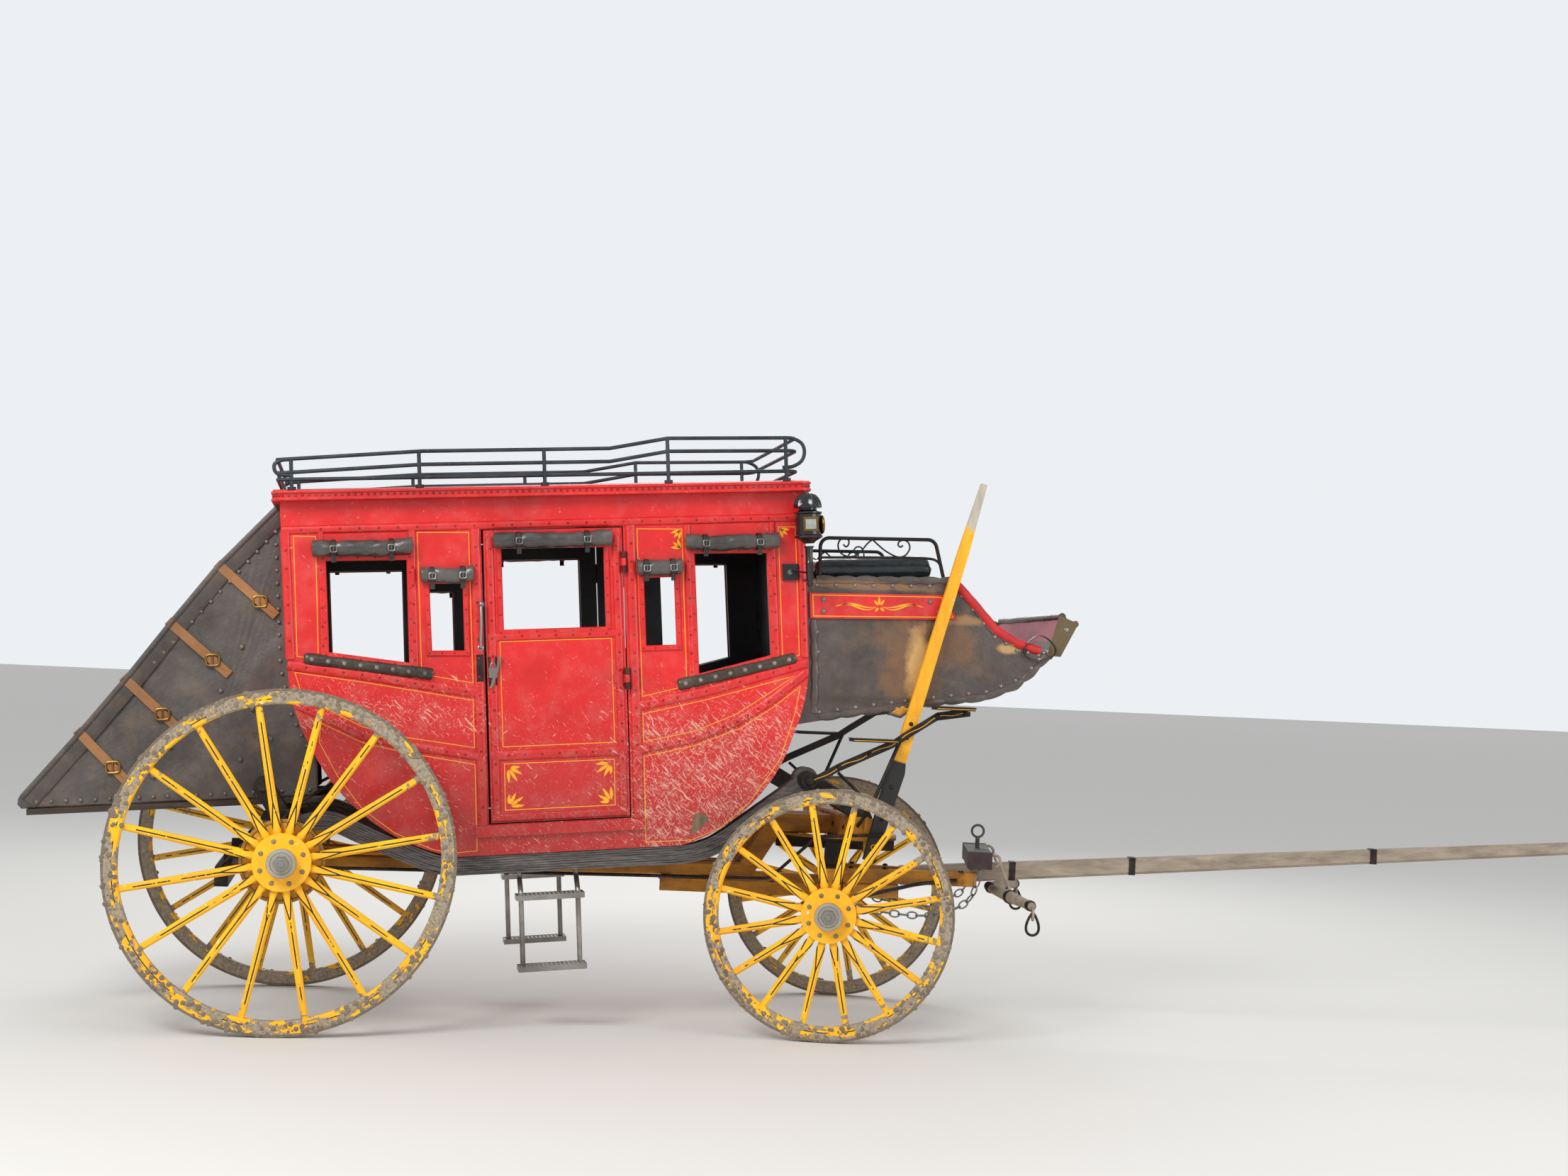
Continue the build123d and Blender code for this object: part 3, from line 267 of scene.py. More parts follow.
def on_body(u, y, w):
    """The body's own millimetres to row metres: x = 1250 + (u - 1250) cos a - (w - 1600) sin a and
    z = 1600 + (u - 1250) sin a + (w - 1600) cos a, with a = 4.6 degrees, and then 2603 back."""
    u, y, w = spread(u, y, w)
    c, s = math.cos(BODY_LEAN), math.sin(BODY_LEAN)
    x = LEAN_U + (u - LEAN_U) * c - (w - LEAN_W) * s - REAR_AXLE
    z = LEAN_W + (u - LEAN_U) * s + (w - LEAN_W) * c
    return np.stack([x, y, z], -1) / 1000


def laid(line, y, place=on_body):
    """A flat line of (u, w) points, or of (x, z) points in another frame, at this distance to the left."""
    line = np.asarray(line, float)
    return place(line[:, 0], y, line[:, 1])


def wall(w):
    """Half the cabin's width at a height: 600 from the eaves down to 1600, then the arc through (587.5, 1219) and
    (550, 838)."""
    below = np.clip(LEAN_W - np.asarray(w, float), 0, 800)
    return WALL_HALF - WALL_ARC + np.sqrt(WALL_ARC**2 - below**2)


def unit(v):
    """Each row divided by its own length."""
    return v / np.maximum(np.linalg.norm(v, axis=-1, keepdims=True), 1e-12)


def turns(count):
    """Evenly spaced angles round a circle."""
    return np.arange(count) * 2 * math.pi / count


def oval(across, high=None, sides=12):
    """The points of a circle, or of an ellipse where its height is given too."""
    t = turns(sides)
    return np.stack([across * np.cos(t), (high or across) * np.sin(t)], -1)


HALF_TURN = np.linspace(0, math.pi, 9)


def half_round(half, high, foot):
    """A low dome's section over a foot line."""
    return np.stack([np.cos(HALF_TURN) * half, np.sin(HALF_TURN) * high + foot], -1)


def oblong(left, low, right, high):
    """Four corners in order."""
    return np.array([(left, low), (right, low), (right, high), (left, high)], float)


def eased(half, foot, shoulder, ease, high):
    """A flat strip's section whose two outer edges are cut off slantwise."""
    return [(-half, foot), (-half, shoulder), (ease - half, high), (half - ease, high), (half, shoulder), (half, foot)]


def bar(half, thick):
    """The section of an iron bar or a thin batten that lies on a surface."""
    return eased(half, -0.5, thick * 0.7, thick * 0.4, thick)


def grid_faces(rows, columns, wrap_rows=False, wrap_columns=True):
    """The quads of a grid of points, closed round its columns or rows where asked."""
    i = np.arange(rows if wrap_rows else rows - 1)[:, None]
    j = np.arange(columns if wrap_columns else columns - 1)[None, :]
    k, l = (i + 1) % rows, (j + 1) % columns
    return np.stack([i * columns + j, k * columns + j, k * columns + l, i * columns + l], -1).reshape(-1, 4).tolist()


def sweep(path, out, section, closed=False):
    """A flat section in millimetres carried along a path in metres: point = path(i) + m(i) a(j) side(i) + b(j) top(i).
    Side is out x direction, top is square to both, and m widens the corners so that a mitred strip keeps its width."""
    path = np.asarray(path, float)
    out = np.broadcast_to(np.asarray(out, float), path.shape)
    before = unit(path - np.roll(path, 1, 0))
    after = unit(np.roll(path, -1, 0) - path)
    if not closed:
        before[0] = after[0]
        after[-1] = before[-1]
    ahead = unit(before + after)
    mitre = 1 / np.clip((ahead * after).sum(1), 0.5, 1)
    side = unit(np.cross(out, ahead)) * mitre[:, None]
    top = np.cross(ahead, unit(side))
    section = np.asarray(section, float) / 1000
    points = path[:, None] + section[None, :, :1] * side[:, None] + section[None, :, 1:] * top[:, None]
    n, m = len(path), len(section)
    faces = grid_faces(n, m, wrap_rows=closed)
    if not closed:
        faces += [list(range(m)), list(range((n - 1) * m, n * m))[::-1]]
    return points.reshape(-1, 3), faces


def across_axis(axis):
    """Two directions square to each axis and to each other."""
    helper = np.where(np.abs(axis[..., 2:]) < 0.9, [0.0, 0.0, 1.0], [1.0, 0.0, 0.0])
    a = unit(np.cross(helper, axis))
    return a, np.cross(axis, a)


def domes(centres, normals, radius, rise, sides=8):
    """Small round heads, in millimetres: rings of radius r at height h above each centre, with a flat foot under it."""
    centres = np.atleast_2d(np.asarray(centres, float))
    normals = unit(np.broadcast_to(np.asarray(normals, float), centres.shape))
    a, b = across_axis(normals)
    t = turns(sides)[None, :, None]
    parts = []
    for r, h in ((1.0, -0.25), (1.0, 0.12), (0.72, 0.72)):
        ring = radius * r * (np.cos(t) * a[:, None] + np.sin(t) * b[:, None])
        parts.append(centres[:, None] + (ring + rise * h * normals[:, None]) / 1000)
    parts.append((centres + rise / 1000 * normals)[:, None])
    points = np.concatenate(parts, 1)
    one = grid_faces(3, sides) + [list(range(sides))]
    one += [[2 * sides + s, 2 * sides + (s + 1) % sides, 3 * sides] for s in range(sides)]
    faces = [[v + (3 * sides + 1) * i for v in face] for i in range(len(centres)) for face in one]
    return points.reshape(-1, 3), faces


def heads(spots, side, y, radius, rise, sides=8, place=on_body):
    """Domes on flat (u, w) points of one side of the coach."""
    return domes(laid(spots, side * y, place), (0, side, 0), radius, rise, sides)


def piece(name, shapes, material, body="coach", sharp=35.0):
    """One named object from one or more closed shapes. Doubled points are merged and the faces are turned outwards."""
    points, faces, start = [], [], 0
    for verts, polygons in shapes:
        points.append(np.asarray(verts, float))
        faces += [[v + start for v in polygon] for polygon in polygons]
        start += len(verts)
    mesh = bpy.data.meshes.new(name)
    mesh.from_pydata(np.concatenate(points).tolist(), [], faces)
    shape = bmesh.new()
    shape.from_mesh(mesh)
    bmesh.ops.remove_doubles(shape, verts=shape.verts, dist=2e-6)
    bmesh.ops.recalc_face_normals(shape, faces=shape.faces)
    shape.to_mesh(mesh)
    shape.free()
    mesh.shade_smooth()
    mesh.set_sharp_from_angle(angle=math.radians(sharp))
    mesh.materials.append(material)
    made = bpy.data.objects.new(name, mesh)
    bpy.context.scene.collection.objects.link(made)
    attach(made, body)
    return made


def along(corners, step=50.0, closed=False):
    """Points no further apart than a step on straight runs between corners, with every corner kept."""
    corners = [np.asarray(c, float) for c in corners]
    ends = corners[1:] + corners[:1] if closed else corners[1:]
    runs = []
    for a, b in zip(corners, ends):
        count = max(1, int(math.ceil(np.linalg.norm(b - a) / step)))
        runs.append(a + (b - a) * (np.arange(count) / count)[:, None])
    if not closed:
        runs.append(corners[-1][None])
    return np.concatenate(runs)


def on_wall(corners, side, lift=0.0, closed=False, step=50.0):
    """A line of body points (u, w) laid on the cabin's side, this far out from it, in row metres."""
    line = along(corners, step, closed)
    return laid(line, side * (wall(line[:, 1]) + lift))


# columns: corners (u, w) of the strip's middle line, half its width
WALL_STRIPS = (
    (((-30, 2375), (2418, 2384)), 20),
    (((-20, 1757), (314, 1700), (632, 1635), (858, 1592)), 24),
    (((1566, 1504), (1913, 1565), (2404, 1682)), 24),
    (((12, 1575), (116, 1526), (307, 1421), (518, 1364), (858, 1298)), 21),
    (((1566, 1299), (1850, 1345), (2059, 1415), (2214, 1502), (2398, 1633)), 22),
    (((847, 980), (847, 2364)), 25),
    (((1576, 980), (1576, 2364)), 25),
    (((-6, 1784), (-16, 2364)), 22),
    (((2398, 1712), (2403, 2360)), 20),
    (((556, 1674), (556, 2364)), 17),
    (((1848, 1572), (1848, 2360)), 17),
    (((142, 1752), (142, 2364)), 14),
    (((2260, 1672), (2260, 2364)), 17),
)
DOOR_STRIPS = (
    (((912, 1012), (912, 2350)), 20),
    (((1506, 1012), (1506, 2350)), 20),
    (((892, 1302), (1526, 1302)), 24),
    (((892, 1855), (1526, 1855)), 20),
    (((892, 2325), (1526, 2325)), 20),
    (((892, 1012), (1526, 1012)), 20),
)
strip_paint = scratched(finish("red_strip_paint", "#DA1E1C", "#BC1614", "#CDB5A8", (0.75, 1.9), 0.25, ("#E0B9A8", 0.35),
                               (0.26, 0.5), coat=0.3), 0.6)
line_paint = finish("yellow_line_paint", "#F7AE14", "#E89A12", "#A08C74", (0.6, 2.0), 0.35, ("#7A2018", 0.55),
                    (0.4, 0.6))
screw_steel = finish("painted_screw_heads", "#A8221E", "#741612", "#C0A898", dirty=0.6, rough=(0.25, 0.5), metal=0.3)
for side, side_name in BODY_SIDES:
    out = (0, side, 0)
    for group, strips, body in (("wall", WALL_STRIPS, "coach"), ("door", DOOR_STRIPS, f"{side_name}_door")):
        timber, screws = [], []
        for corners, half in strips:
            thick = 6 + half / 4
            timber.append(sweep(on_wall(corners, side, step=30.0), out, half_round(half, thick, -0.5)))
            spots = on_wall(corners, side, thick - 1, step=88.0)
            screws.append(domes(spots[1:-1] if len(spots) > 4 else spots, out, 6.2, 3.0))
        piece(f"{group}_strips_{side_name}", timber, strip_paint, body)
        piece(f"{group}_screws_{side_name}", screws, screw_steel, body)


# Window frames and painted panels. Each window has a proud red frame held by dome-headed screws, and each panel has a
# thin yellow line painted inside its edge; leaf fans fill the corners of the door's lower panel and of two on the wall.
def inset(corners, by):
    """A four-cornered figure moved towards its middle (or away, if by is negative) along both directions."""
    corners = np.asarray(corners, float)
    return corners - by * np.sign(corners - corners.mean(0))


WINDOWS = (
    ("wall", ((160, 2234), (534, 2230), (533, 1742), (163, 1807))),
    ("wall", ((626, 2117), (788, 2114), (788, 1792), (630, 1797))),
    ("wall", ((1628, 2117), (1782, 2117), (1783, 1787), (1630, 1787))),
    ("wall", ((1875, 2227), (2232, 2220), (2236, 1724), (1878, 1642))),
    ("door", ((962, 2272), (1450, 2268), (1450, 1883), (963, 1883))),
)
# columns: what carries it, corners (u, w) of the painted line, in order round the panel
PANELS = (
    ("wall", ((22, 2348), (121, 2343), (118, 1780), (24, 1795))),
    ("wall", ((582, 2352), (818, 2346), (818, 1645), (584, 1694))),
    ("wall", ((12, 1722), (314, 1667), (632, 1602), (816, 1564), (816, 1344), (518, 1402), (312, 1460), (120, 1566),
              (46, 1600))),
    ("wall", ((122, 1486), (316, 1384), (520, 1330), (816, 1266), (816, 862), (700, 858), (610, 880), (440, 966),
              (300, 1080), (190, 1240), (112, 1400))),
    ("wall", ((1608, 2346), (1822, 2340), (1822, 1594), (1608, 1552))),
    ("wall", ((2290, 2340), (2374, 2338), (2372, 1722), (2290, 1700))),
    ("wall", ((1608, 1470), (1920, 1526), (2350, 1624), (2196, 1532), (2046, 1447), (1850, 1378), (1608, 1338))),
    ("wall", ((1608, 1268), (1850, 1310), (2072, 1382), (2228, 1472), (2372, 1572), (2340, 1440), (2262, 1226),
              (2104, 1020), (1960, 910), (1830, 862), (1608, 862))),
    ("door", ((948, 1832), (1470, 1832), (1470, 1342), (948, 1342))),
    ("door", ((952, 1262), (1466, 1262), (1466, 1046), (952, 1046))),
)
STRIPE = oblong(-1.6, -0.5, 1.6, 0.9)
FRAME_SECTION = eased(13, -0.5, 6, 4, 10)
FRAME_OUT = 8
# columns: carrier, the leaves' turns and lengths, half width, how far they start from the corner, then corners
# (u, w, first turn)
FANS = (
    ("door", ((2, 62), (32, 70), (62, 62), (88, 44)), 7.5, 12,
     ((968, 1246, -90), (1450, 1246, 180), (1450, 1062, 90), (968, 1062, 0))),
    ("wall", ((15, 46), (50, 46), (85, 46)), 7, 0, ((1812, 2334, 180), (1812, 2250, 90), (2300, 2330, -90))),
)


def petal(u, w, degrees, length, width, start=0, count=16):
    """A leaf outline: along = start + length t, across = width sin(pi t ** 0.8), turned about (u, w)."""
    t = np.linspace(0, 1, count)
    a = start + length * np.concatenate([t, t[::-1][1:-1]])
    half = width * np.sin(math.pi * t**0.8)
    b = np.concatenate([half, -half[::-1][1:-1]])
    c, s = math.cos(math.radians(degrees)), math.sin(math.radians(degrees))
    return np.stack([u + a * c - b * s, w + a * s + b * c], -1)


def flat_leaf(outline, side, thick=1.2, level=None):
    """A thin closed plate on the cabin's side, or at a set distance out: the outline twice, 0.4 in and this far out."""
    outline = np.asarray(outline, float)
    n = len(outline)
    base = wall(outline[:, 1]) if level is None else level
    rings = np.concatenate([laid(outline, side * (base - 0.4)), laid(outline, side * (base + thick))])
    return rings, grid_faces(2, n) + [list(range(n)), list(range(n, 2 * n))]


for side, side_name in BODY_SIDES:
    out = (0, side, 0)
    for group, body in (("wall", "coach"), ("door", f"{side_name}_door")):
        openings = [inset(corners, -FRAME_OUT) for kind, corners in WINDOWS if kind == group]
        frames = [sweep(on_wall(ring, side, closed=True), out, FRAME_SECTION, True) for ring in openings]
        screws = [domes(on_wall(ring, side, 9.2, True, 84.0), out, 5.2, 2.6) for ring in openings]
        lines = [sweep(on_wall(ring, side, closed=True), out, STRIPE, True) for kind, ring in PANELS if kind == group]
        leaves = [flat_leaf(petal(u, w, first + turn, size, width, start), side)
                  for kind, fan, width, start, spots in FANS if kind == group
                  for u, w, first in spots for turn, size in fan]
        piece(f"{group}_window_frames_{side_name}", frames, strip_paint, body)
        piece(f"{group}_frame_screws_{side_name}", screws, screw_steel, body)
        piece(f"{group}_painted_lines_{side_name}", lines, line_paint, body)
        piece(f"{group}_painted_leaves_{side_name}", leaves, line_paint, body)


# Door hardware and hinges: red-brown butt hinges on the front edge, a worn steel pull handle that ends in a ball on
# the rear post, and a black latch plate and keeper with a bare diagonal bar and a small padlock.
worn_steel = finish("worn_steel", "#A3A19B", "#6E6A64", "#6B5B49", (0.1, 1.5), 0.4, ("#C9C6BE", 0.3), (0.25, 0.5),
                    metal=0.85)
black_iron = finish("black_iron", "#1C1B1C", "#2C2522", "#6B5947", (0.3, 2.3), 0.55, ("#7C4A2C", 0.45), (0.38, 0.68),
                    metal=0.55)
hinge_paint = finish("painted_hinges", "#5E1812", "#2E1512", "#8A7868", (0.8, 2.2), 0.5, ("#20100D", 0.5), (0.35, 0.6),
                     metal=0.3)
paint(hinge_paint, "door_hinges")


def lathe(profile, centre, axis, count=28, capped=True):
    """A profile of (radius, height) rows in millimetres turned round an axis: point = centre + r (a cos t + b sin t)
    + h axis. An end whose radius isn't zero gets a flat cap."""
    profile = np.asarray(profile, float) / 1000
    axis = unit(np.asarray(axis, float))
    a, b = across_axis(axis)
    t = turns(count)[:, None]
    ring = np.cos(t) * a + np.sin(t) * b
    points = np.asarray(centre) + profile[:, None, :1] * ring[None] + profile[:, None, 1:] * axis
    n = len(profile)
    faces = grid_faces(n, count)
    for row in (0, n - 1):
        if capped and profile[row, 0] > 1e-6:
            faces.append(list(range(row * count, (row + 1) * count)))
    return points.reshape(-1, 3), faces


# columns: u, how far the grip stands off the wall, w
GRIP = ((856, 8, 1806), (857, 34, 1812), (858, 44, 1850), (861, 46, 1910), (862, 44, 1970), (863, 34, 2006),
        (864, 8, 2012))
BALL = [(14 * math.sin(t), -14 * math.cos(t)) for t in np.linspace(0, math.pi, 12)]
for side, side_name in BODY_SIDES:
    out = (0, side, 0)
    u, y, w = np.array(GRIP, float).T
    handle = sweep(on_body(u, side * (wall(w) + y), w), (1, 0, 0), oval(8))
    ball = lathe(BALL, on_body(864, side * 638, 2010), out)
    feet = heads(((856, 1806), (864, 2010)), side, 607, 17, 7, 14)
    piece(f"pull_handle_{side_name}", [handle, ball, feet], worn_steel)
    piece(f"latch_keeper_{side_name}", [flat_leaf(oblong(836, 1650, 868, 1776), side, 12)], black_iron)
    latch = sweep(on_wall(((944, 1764), (930, 1700), (899, 1618)), side, 16), out, bar(6, 8))
    bow = on_body(911 + 13 * np.cos(HALF_TURN), side * 611, 1712 + 24 * np.sin(HALF_TURN))
    loop = sweep(bow, out, oval(3.5, sides=8))
    lock = flat_leaf(((893, 1666), (929, 1666), (932, 1712), (890, 1712)), side, 22)
    door = f"{side_name}_door"
    piece(f"latch_plate_{side_name}", [flat_leaf(oblong(890, 1630, 930, 1764), side, 9)], black_iron, door)
    piece(f"latch_bar_{side_name}", [latch, loop, lock], worn_steel, door)

# Torn place low on the right front quarter: the paint has gone and the grey board shows its split grain. It is a very
# thin plate with a ragged outline.
bare_wood = finish("bare_split_wood", "#8C7A5C", "#4A3B28", "#6B5B49", (0.2, 1.2), 0.6, ("#2E241A", 0.6), (0.7, 0.95),
                   stretch=(6, 6, 1.2), grain=16, bump=0.9)
t = turns(40)
ragged = 1 + 0.2 * np.sin(3 * t + 1) + 0.12 * np.sin(8 * t) + 0.1 * np.sin(13 * t + 2)
outline = np.stack([1862 + ragged * (34 * np.cos(t) + 18 * np.sin(t)), 944 + ragged * 48 * np.sin(t)], -1)
piece("torn_board", [flat_leaf(outline, -1, 0.6)], bare_wood, "coach", 20)


# Roll-up curtains. Each window has a leather sheet rolled up above it and held by two buckled straps; the leather is
# dry and grey-black, its ends draw in to a dimple, and it sags a little between the straps.
curtain_leather = finish("curtain_leather", "#595450", "#2B2826", "#8A8378", (0.8, 2.6), 0.3, ("#A39A8C", 0.25),
                         (0.2, 0.4), bump=0.4, wrinkle=0.6, coat=0.35)
roll_strap = finish("roll_strap_leather", "#2F2C29", "#1E1C1A", "#77706A", (0.8, 2.6), 0.3, rough=(0.35, 0.6), bump=0.3,
                    wrinkle=0.4)
aged_brass = finish("aged_brass", "#A07C3C", "#5D4A2A", "#5A4C38", dirty=0.35, rough=(0.28, 0.5), metal=0.85)
STRAP_SHARES = (0.22, 0.78)
ROLL_RADIUS, ROLL_Y = 37, 636.5


def ripple(a, b, seed):
    """A smooth uneven field: the sum of five sines whose pitch and phase come from the seed, about -1 to 1."""
    total = 0
    for n, (p, q, r, s) in enumerate(np.random.RandomState(seed).uniform(0, 1, (5, 4)), 1):
        total = total + np.sin(n * (0.6 + p) * a + n * (0.6 + q) * b * (1 if r > 0.5 else -1) + 6.283 * s) / n
    return total / 1.6


def rolled(back, front, height, side, seed):
    """A rolled sheet: radius = 37 (0.9 + 0.09 turn) with a step where the free edge lies, pinched at the two straps,
    its middle line dropping 6 sin(pi t) between them; the ends draw in to a dimple."""
    T, V = np.meshgrid(np.linspace(0, 1, 64), np.arange(40) / 40, indexing="ij")
    length = front - back
    pinch = sum(np.exp(-((T - s) * length / 20) ** 2) for s in STRAP_SHARES)
    radius = ROLL_RADIUS * (0.9 + 0.09 * V) * (1 - 0.17 * pinch) + 3.6 * ripple(T * length / 48, V * 6.283, seed)
    ends = np.clip(np.minimum(T, 1 - T) * length / 7, 0, 1)
    radius = radius * (0.35 + 0.65 * np.sqrt(ends))
    radius[0] = radius[-1] = 0.0
    turn = 2 * math.pi * V + 2.2
    middle = height - 6 * np.sin(math.pi * T) - 2.2 * np.sin(9 * T + seed)
    y = side * (ROLL_Y + radius * 0.93 * np.cos(turn))
    return on_body(back + T * length, y, middle + radius * 1.06 * np.sin(turn)).reshape(-1, 3), grid_faces(*T.shape)


# columns: first and last u of the roll, height of its middle; the last one is the door's
ROLLS = ((98, 564, 2288), (588, 838, 2153), (1592, 1818, 2163), (1826, 2290, 2274), (922, 1490, 2306))


THIN_STRAP = oblong(-1.6, -11, 1.6, 11)


def strap_round(u, height, side):
    """A flat strap's loop round a roll, a little oval, with its tail hanging down the wall in front."""
    t = turns(24)
    loop = on_body(u, side * (636 + 36 * np.cos(t)), height - 4 + 40 * np.sin(t))
    tail = on_body(u, side * np.array([668, 660, 650, 644]), height - np.array([16, 31, 48, 68]))
    return [sweep(loop, (1, 0, 0), THIN_STRAP, True), sweep(tail, (0, side, 0), oblong(-11, -1.5, 11, 1.5))]


def buckle(u, w, y, side, across, high, thick):
    """A rounded wire loop that lies on a strap, |u / across|^4 + |w / high|^4 = 1, with its tongue."""
    spots = oval(1, sides=32)
    spots = np.sign(spots) * np.abs(spots) ** 0.5 * (across, high) + (u, w)
    tongue = laid(((u, w - high), (u, w + high)), side * (y + 1))
    return [sweep(laid(spots, side * y), (0, side, 0), oval(thick, sides=8), True),
            sweep(tongue, (0, side, 0), oval(thick / 1.4, sides=6))]


for side, side_name in BODY_SIDES:
    rolls, straps, metal = [], [], []
    for n, (back, front, height) in enumerate(ROLLS):
        pair = [back + (front - back) * share for share in STRAP_SHARES]
        rolls.append(rolled(back, front, height, side, 11 * n + 3))
        straps.append([shape for u in pair for shape in strap_round(u, height, side)])
        metal.append([shape for u in pair for shape in buckle(u, height - 8, 674, side, 15, 14, 2.8)])
    for group, plural, body, which, old in (
        ("door_roll", "", f"{side_name}_door", slice(4, 5), f"door_curtain_{side_name}"),
        ("window_roll", "s", "coach", slice(4), "curtains"),
    ):
        made = piece(f"{group}{plural}_{side_name}", rolls[which], curtain_leather, body, 60)
        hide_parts(old)
        piece(f"{group}_straps_{side_name}", sum(straps[which], []), roll_strap, body)
        piece(f"{group}_buckles_{side_name}", sum(metal[which], []), worn_steel, body)


# Padded elbow strips under the two end windows: leather over a thin roll, fixed with close rows of round nails. Each is
# a half-round section swept along the sill, and its size varies a little.
pad_leather = finish("pad_leather", "#3E3226", "#1F1B18", "#8A7A62", (0.8, 2.6), 0.35, ("#9A7E52", 0.4), (0.22, 0.45),
                     bump=0.4, wrinkle=0.7, coat=0.25)


def puffed(path, out, section, shares):
    """A swept roll whose every ring is scaled about the path's own point by its share."""
    points, faces = sweep(path, out, section)
    core = np.repeat(path, len(section), 0)
    return core + (points - core) * np.repeat(shares, len(section))[:, None], faces


ELBOW_LINES = (((54, 1785), (634, 1692)), ((1778, 1600), (2353, 1708)))
for side, side_name in BODY_SIDES:
    pads, nails = [], []
    for (u0, w0), (u1, w1) in ELBOW_LINES:
        t = np.linspace(0, 1, 60)
        fade = np.clip(np.minimum(t, 1 - t) * 90, 0.6, 1) ** 0.5
        place = on_body(u0 + (u1 - u0) * t, side * WALL_HALF, w0 + (w1 - w0) * t)
        pads.append(puffed(place, (0, side, 0), half_round(29, 24, -1), fade * (1 + 0.05 * ripple(t * 40, 0, 7))))
        spots = along([(u0 + 36, w0 + (w1 - w0) * 0.06), (u1 - 36, w1 - (w1 - w0) * 0.06)], 80)
        nails.append(heads(spots, side, 622.4, 11, 6, 14))
    piece(f"elbow_pads_{side_name}", pads, pad_leather, "coach", 60)
    piece(f"elbow_pad_nails_{side_name}", nails, worn_steel)


# Roof and its edge. The crowned roof is canvas over boards, painted red; a deep red edge strip runs all round it,
# nailed on with dome heads, with a thin bead above the nails and one below.
roof_paint = finish("roof_paint", "#CC1C1A", "#A81614", "#8F8072", (0.8, 3.0), 0.4, ("#C98F80", 0.3), (0.5, 0.8),
                    coat=0.1)
paint(roof_paint, "roof")
ROOF_BACK, ROOF_FRONT, ROOF_HALF, ROOF_CORNER = -65, 2446, 660, 45
corner = [(ROOF_CORNER - ROOF_CORNER * math.cos(t), ROOF_CORNER - ROOF_CORNER * math.sin(t))
          for t in np.linspace(0, math.pi / 2, 6)]
half_loop = [(ROOF_BACK, 0)] + [(ROOF_BACK + a, b - ROOF_HALF) for a, b in corner]
half_loop += [(ROOF_FRONT - a, b - ROOF_HALF) for a, b in corner[::-1]] + [(ROOF_FRONT, 0)]
roof_loop = half_loop + [(u, -y) for u, y in half_loop[::-1][1:-1]]


def roof_line(step, back, front, wide, w):
    """The roof's edge at a height w, and which way it faces there: along u past the ends, along y past the sides."""
    u, y = along(along(roof_loop, 60, True).tolist(), step, True).T
    ways = [np.where((u < back) | (u > front), np.sign(u - 1190), 0), np.where(np.abs(y) > wide, np.sign(y), 0), 0 * u]
    return on_body(u, y, w), unit(np.stack(ways, -1) + 1e-9)


strips = [sweep(*roof_line(60, -20, 2401, 615, w), bar(half, 8), True) for w, half in ((2514, 7), (2546, 6))]
nails = [domes(*roof_line(34, -40, 2420, 640, 2530), 6.2, 4)]
piece("roof_edge_beads", strips, strip_paint, "coach")
piece("roof_edge_nails", nails, screw_steel, "coach")


# Roof rack: dark grey paint over steel, rubbed bright on the rails. Its ends are the same tube bent back on itself past
# the end posts, on both sides. The coach's other forged irons are black.
rack_paint = finish("rack_paint", "#3A444C", "#252B30", "#7D776E", (1.0, 3.2), 0.35, ("#8C8F92", 0.42), (0.35, 0.6),
                    metal=0.5)
paint(rack_paint, "roof_rack")


def curved(points, count=8):
    """A smooth line through the points: Catmull-Rom, p = (2 B + (C - A) t + (2 A - 5 B + 4 C - D) t^2
    + (3 B - A - 3 C + D) t^3) / 2 between B and C."""
    p = np.asarray(points, float)
    p = np.concatenate([[2 * p[0] - p[1]], p, [2 * p[-1] - p[-2]]])
    t = np.linspace(0, 1, count, endpoint=False)[:, None, None]
    a, b, c, d = p[:-3], p[1:-2], p[2:-1], p[3:]
    spline = (2 * b + (c - a) * t + (2 * a - 5 * b + 4 * c - d) * t**2 + (3 * b - a - 3 * c + d) * t**3) / 2
    return np.concatenate([spline.transpose(1, 0, 2).reshape(-1, p.shape[1]), p[-2:-1]])


RACK_ENDS = (
    ((2322, 2769), (2372, 2766), (2418, 2742), (2432, 2700), (2416, 2656), (2372, 2630), (2322, 2626)),
    ((24, 2701), (-20, 2698), (-50, 2684), (-56, 2664), (-46, 2640), (-14, 2629), (24, 2627)),
)
RACK_HALF, RACK_TUBE = 600, 8.8
ends = [sweep(laid(curved(route), side * RACK_HALF), (0, 1, 0), oval(RACK_TUBE))
        for side in (-1, 1) for route in RACK_ENDS]
piece("rack_rounded_ends", ends, rack_paint, "coach")
paint(black_iron, "standards", "brake_rigging", "step_irons", "seat_rails", "turning_circle", "rear_axle", "front_axle",
      "pole_ferrule")


# Benches and floor boards inside, the boot's platform and the driver's seat box: plain dark boards, whose grain is the
# finish's own noise drawn out along them.
dark_board = finish("dark_board", "#3A2A20", "#21170F", "#75685A", (0.6, 2.4), 0.5, rough=(0.6, 0.85),
                    stretch=(0.6, 6, 6), grain=9)
paint(dark_board, "benches", "driver_seat_box", "rear_boot_platform")


# Seat cushions. Leather over horsehair: the sheet is swollen by a short cloth simulation between its seams. Buttons
# pull the two bench cushions down in rows; the driver's cushion is smooth.
seat_leather = finish("seat_leather", "#1B2226", "#101416", "#5B5148", (1.2, 2.6), 0.22, ("#3B3330", 0.1), (0.18, 0.36),
                      bump=0.2, wrinkle=0.25, coat=0.4)


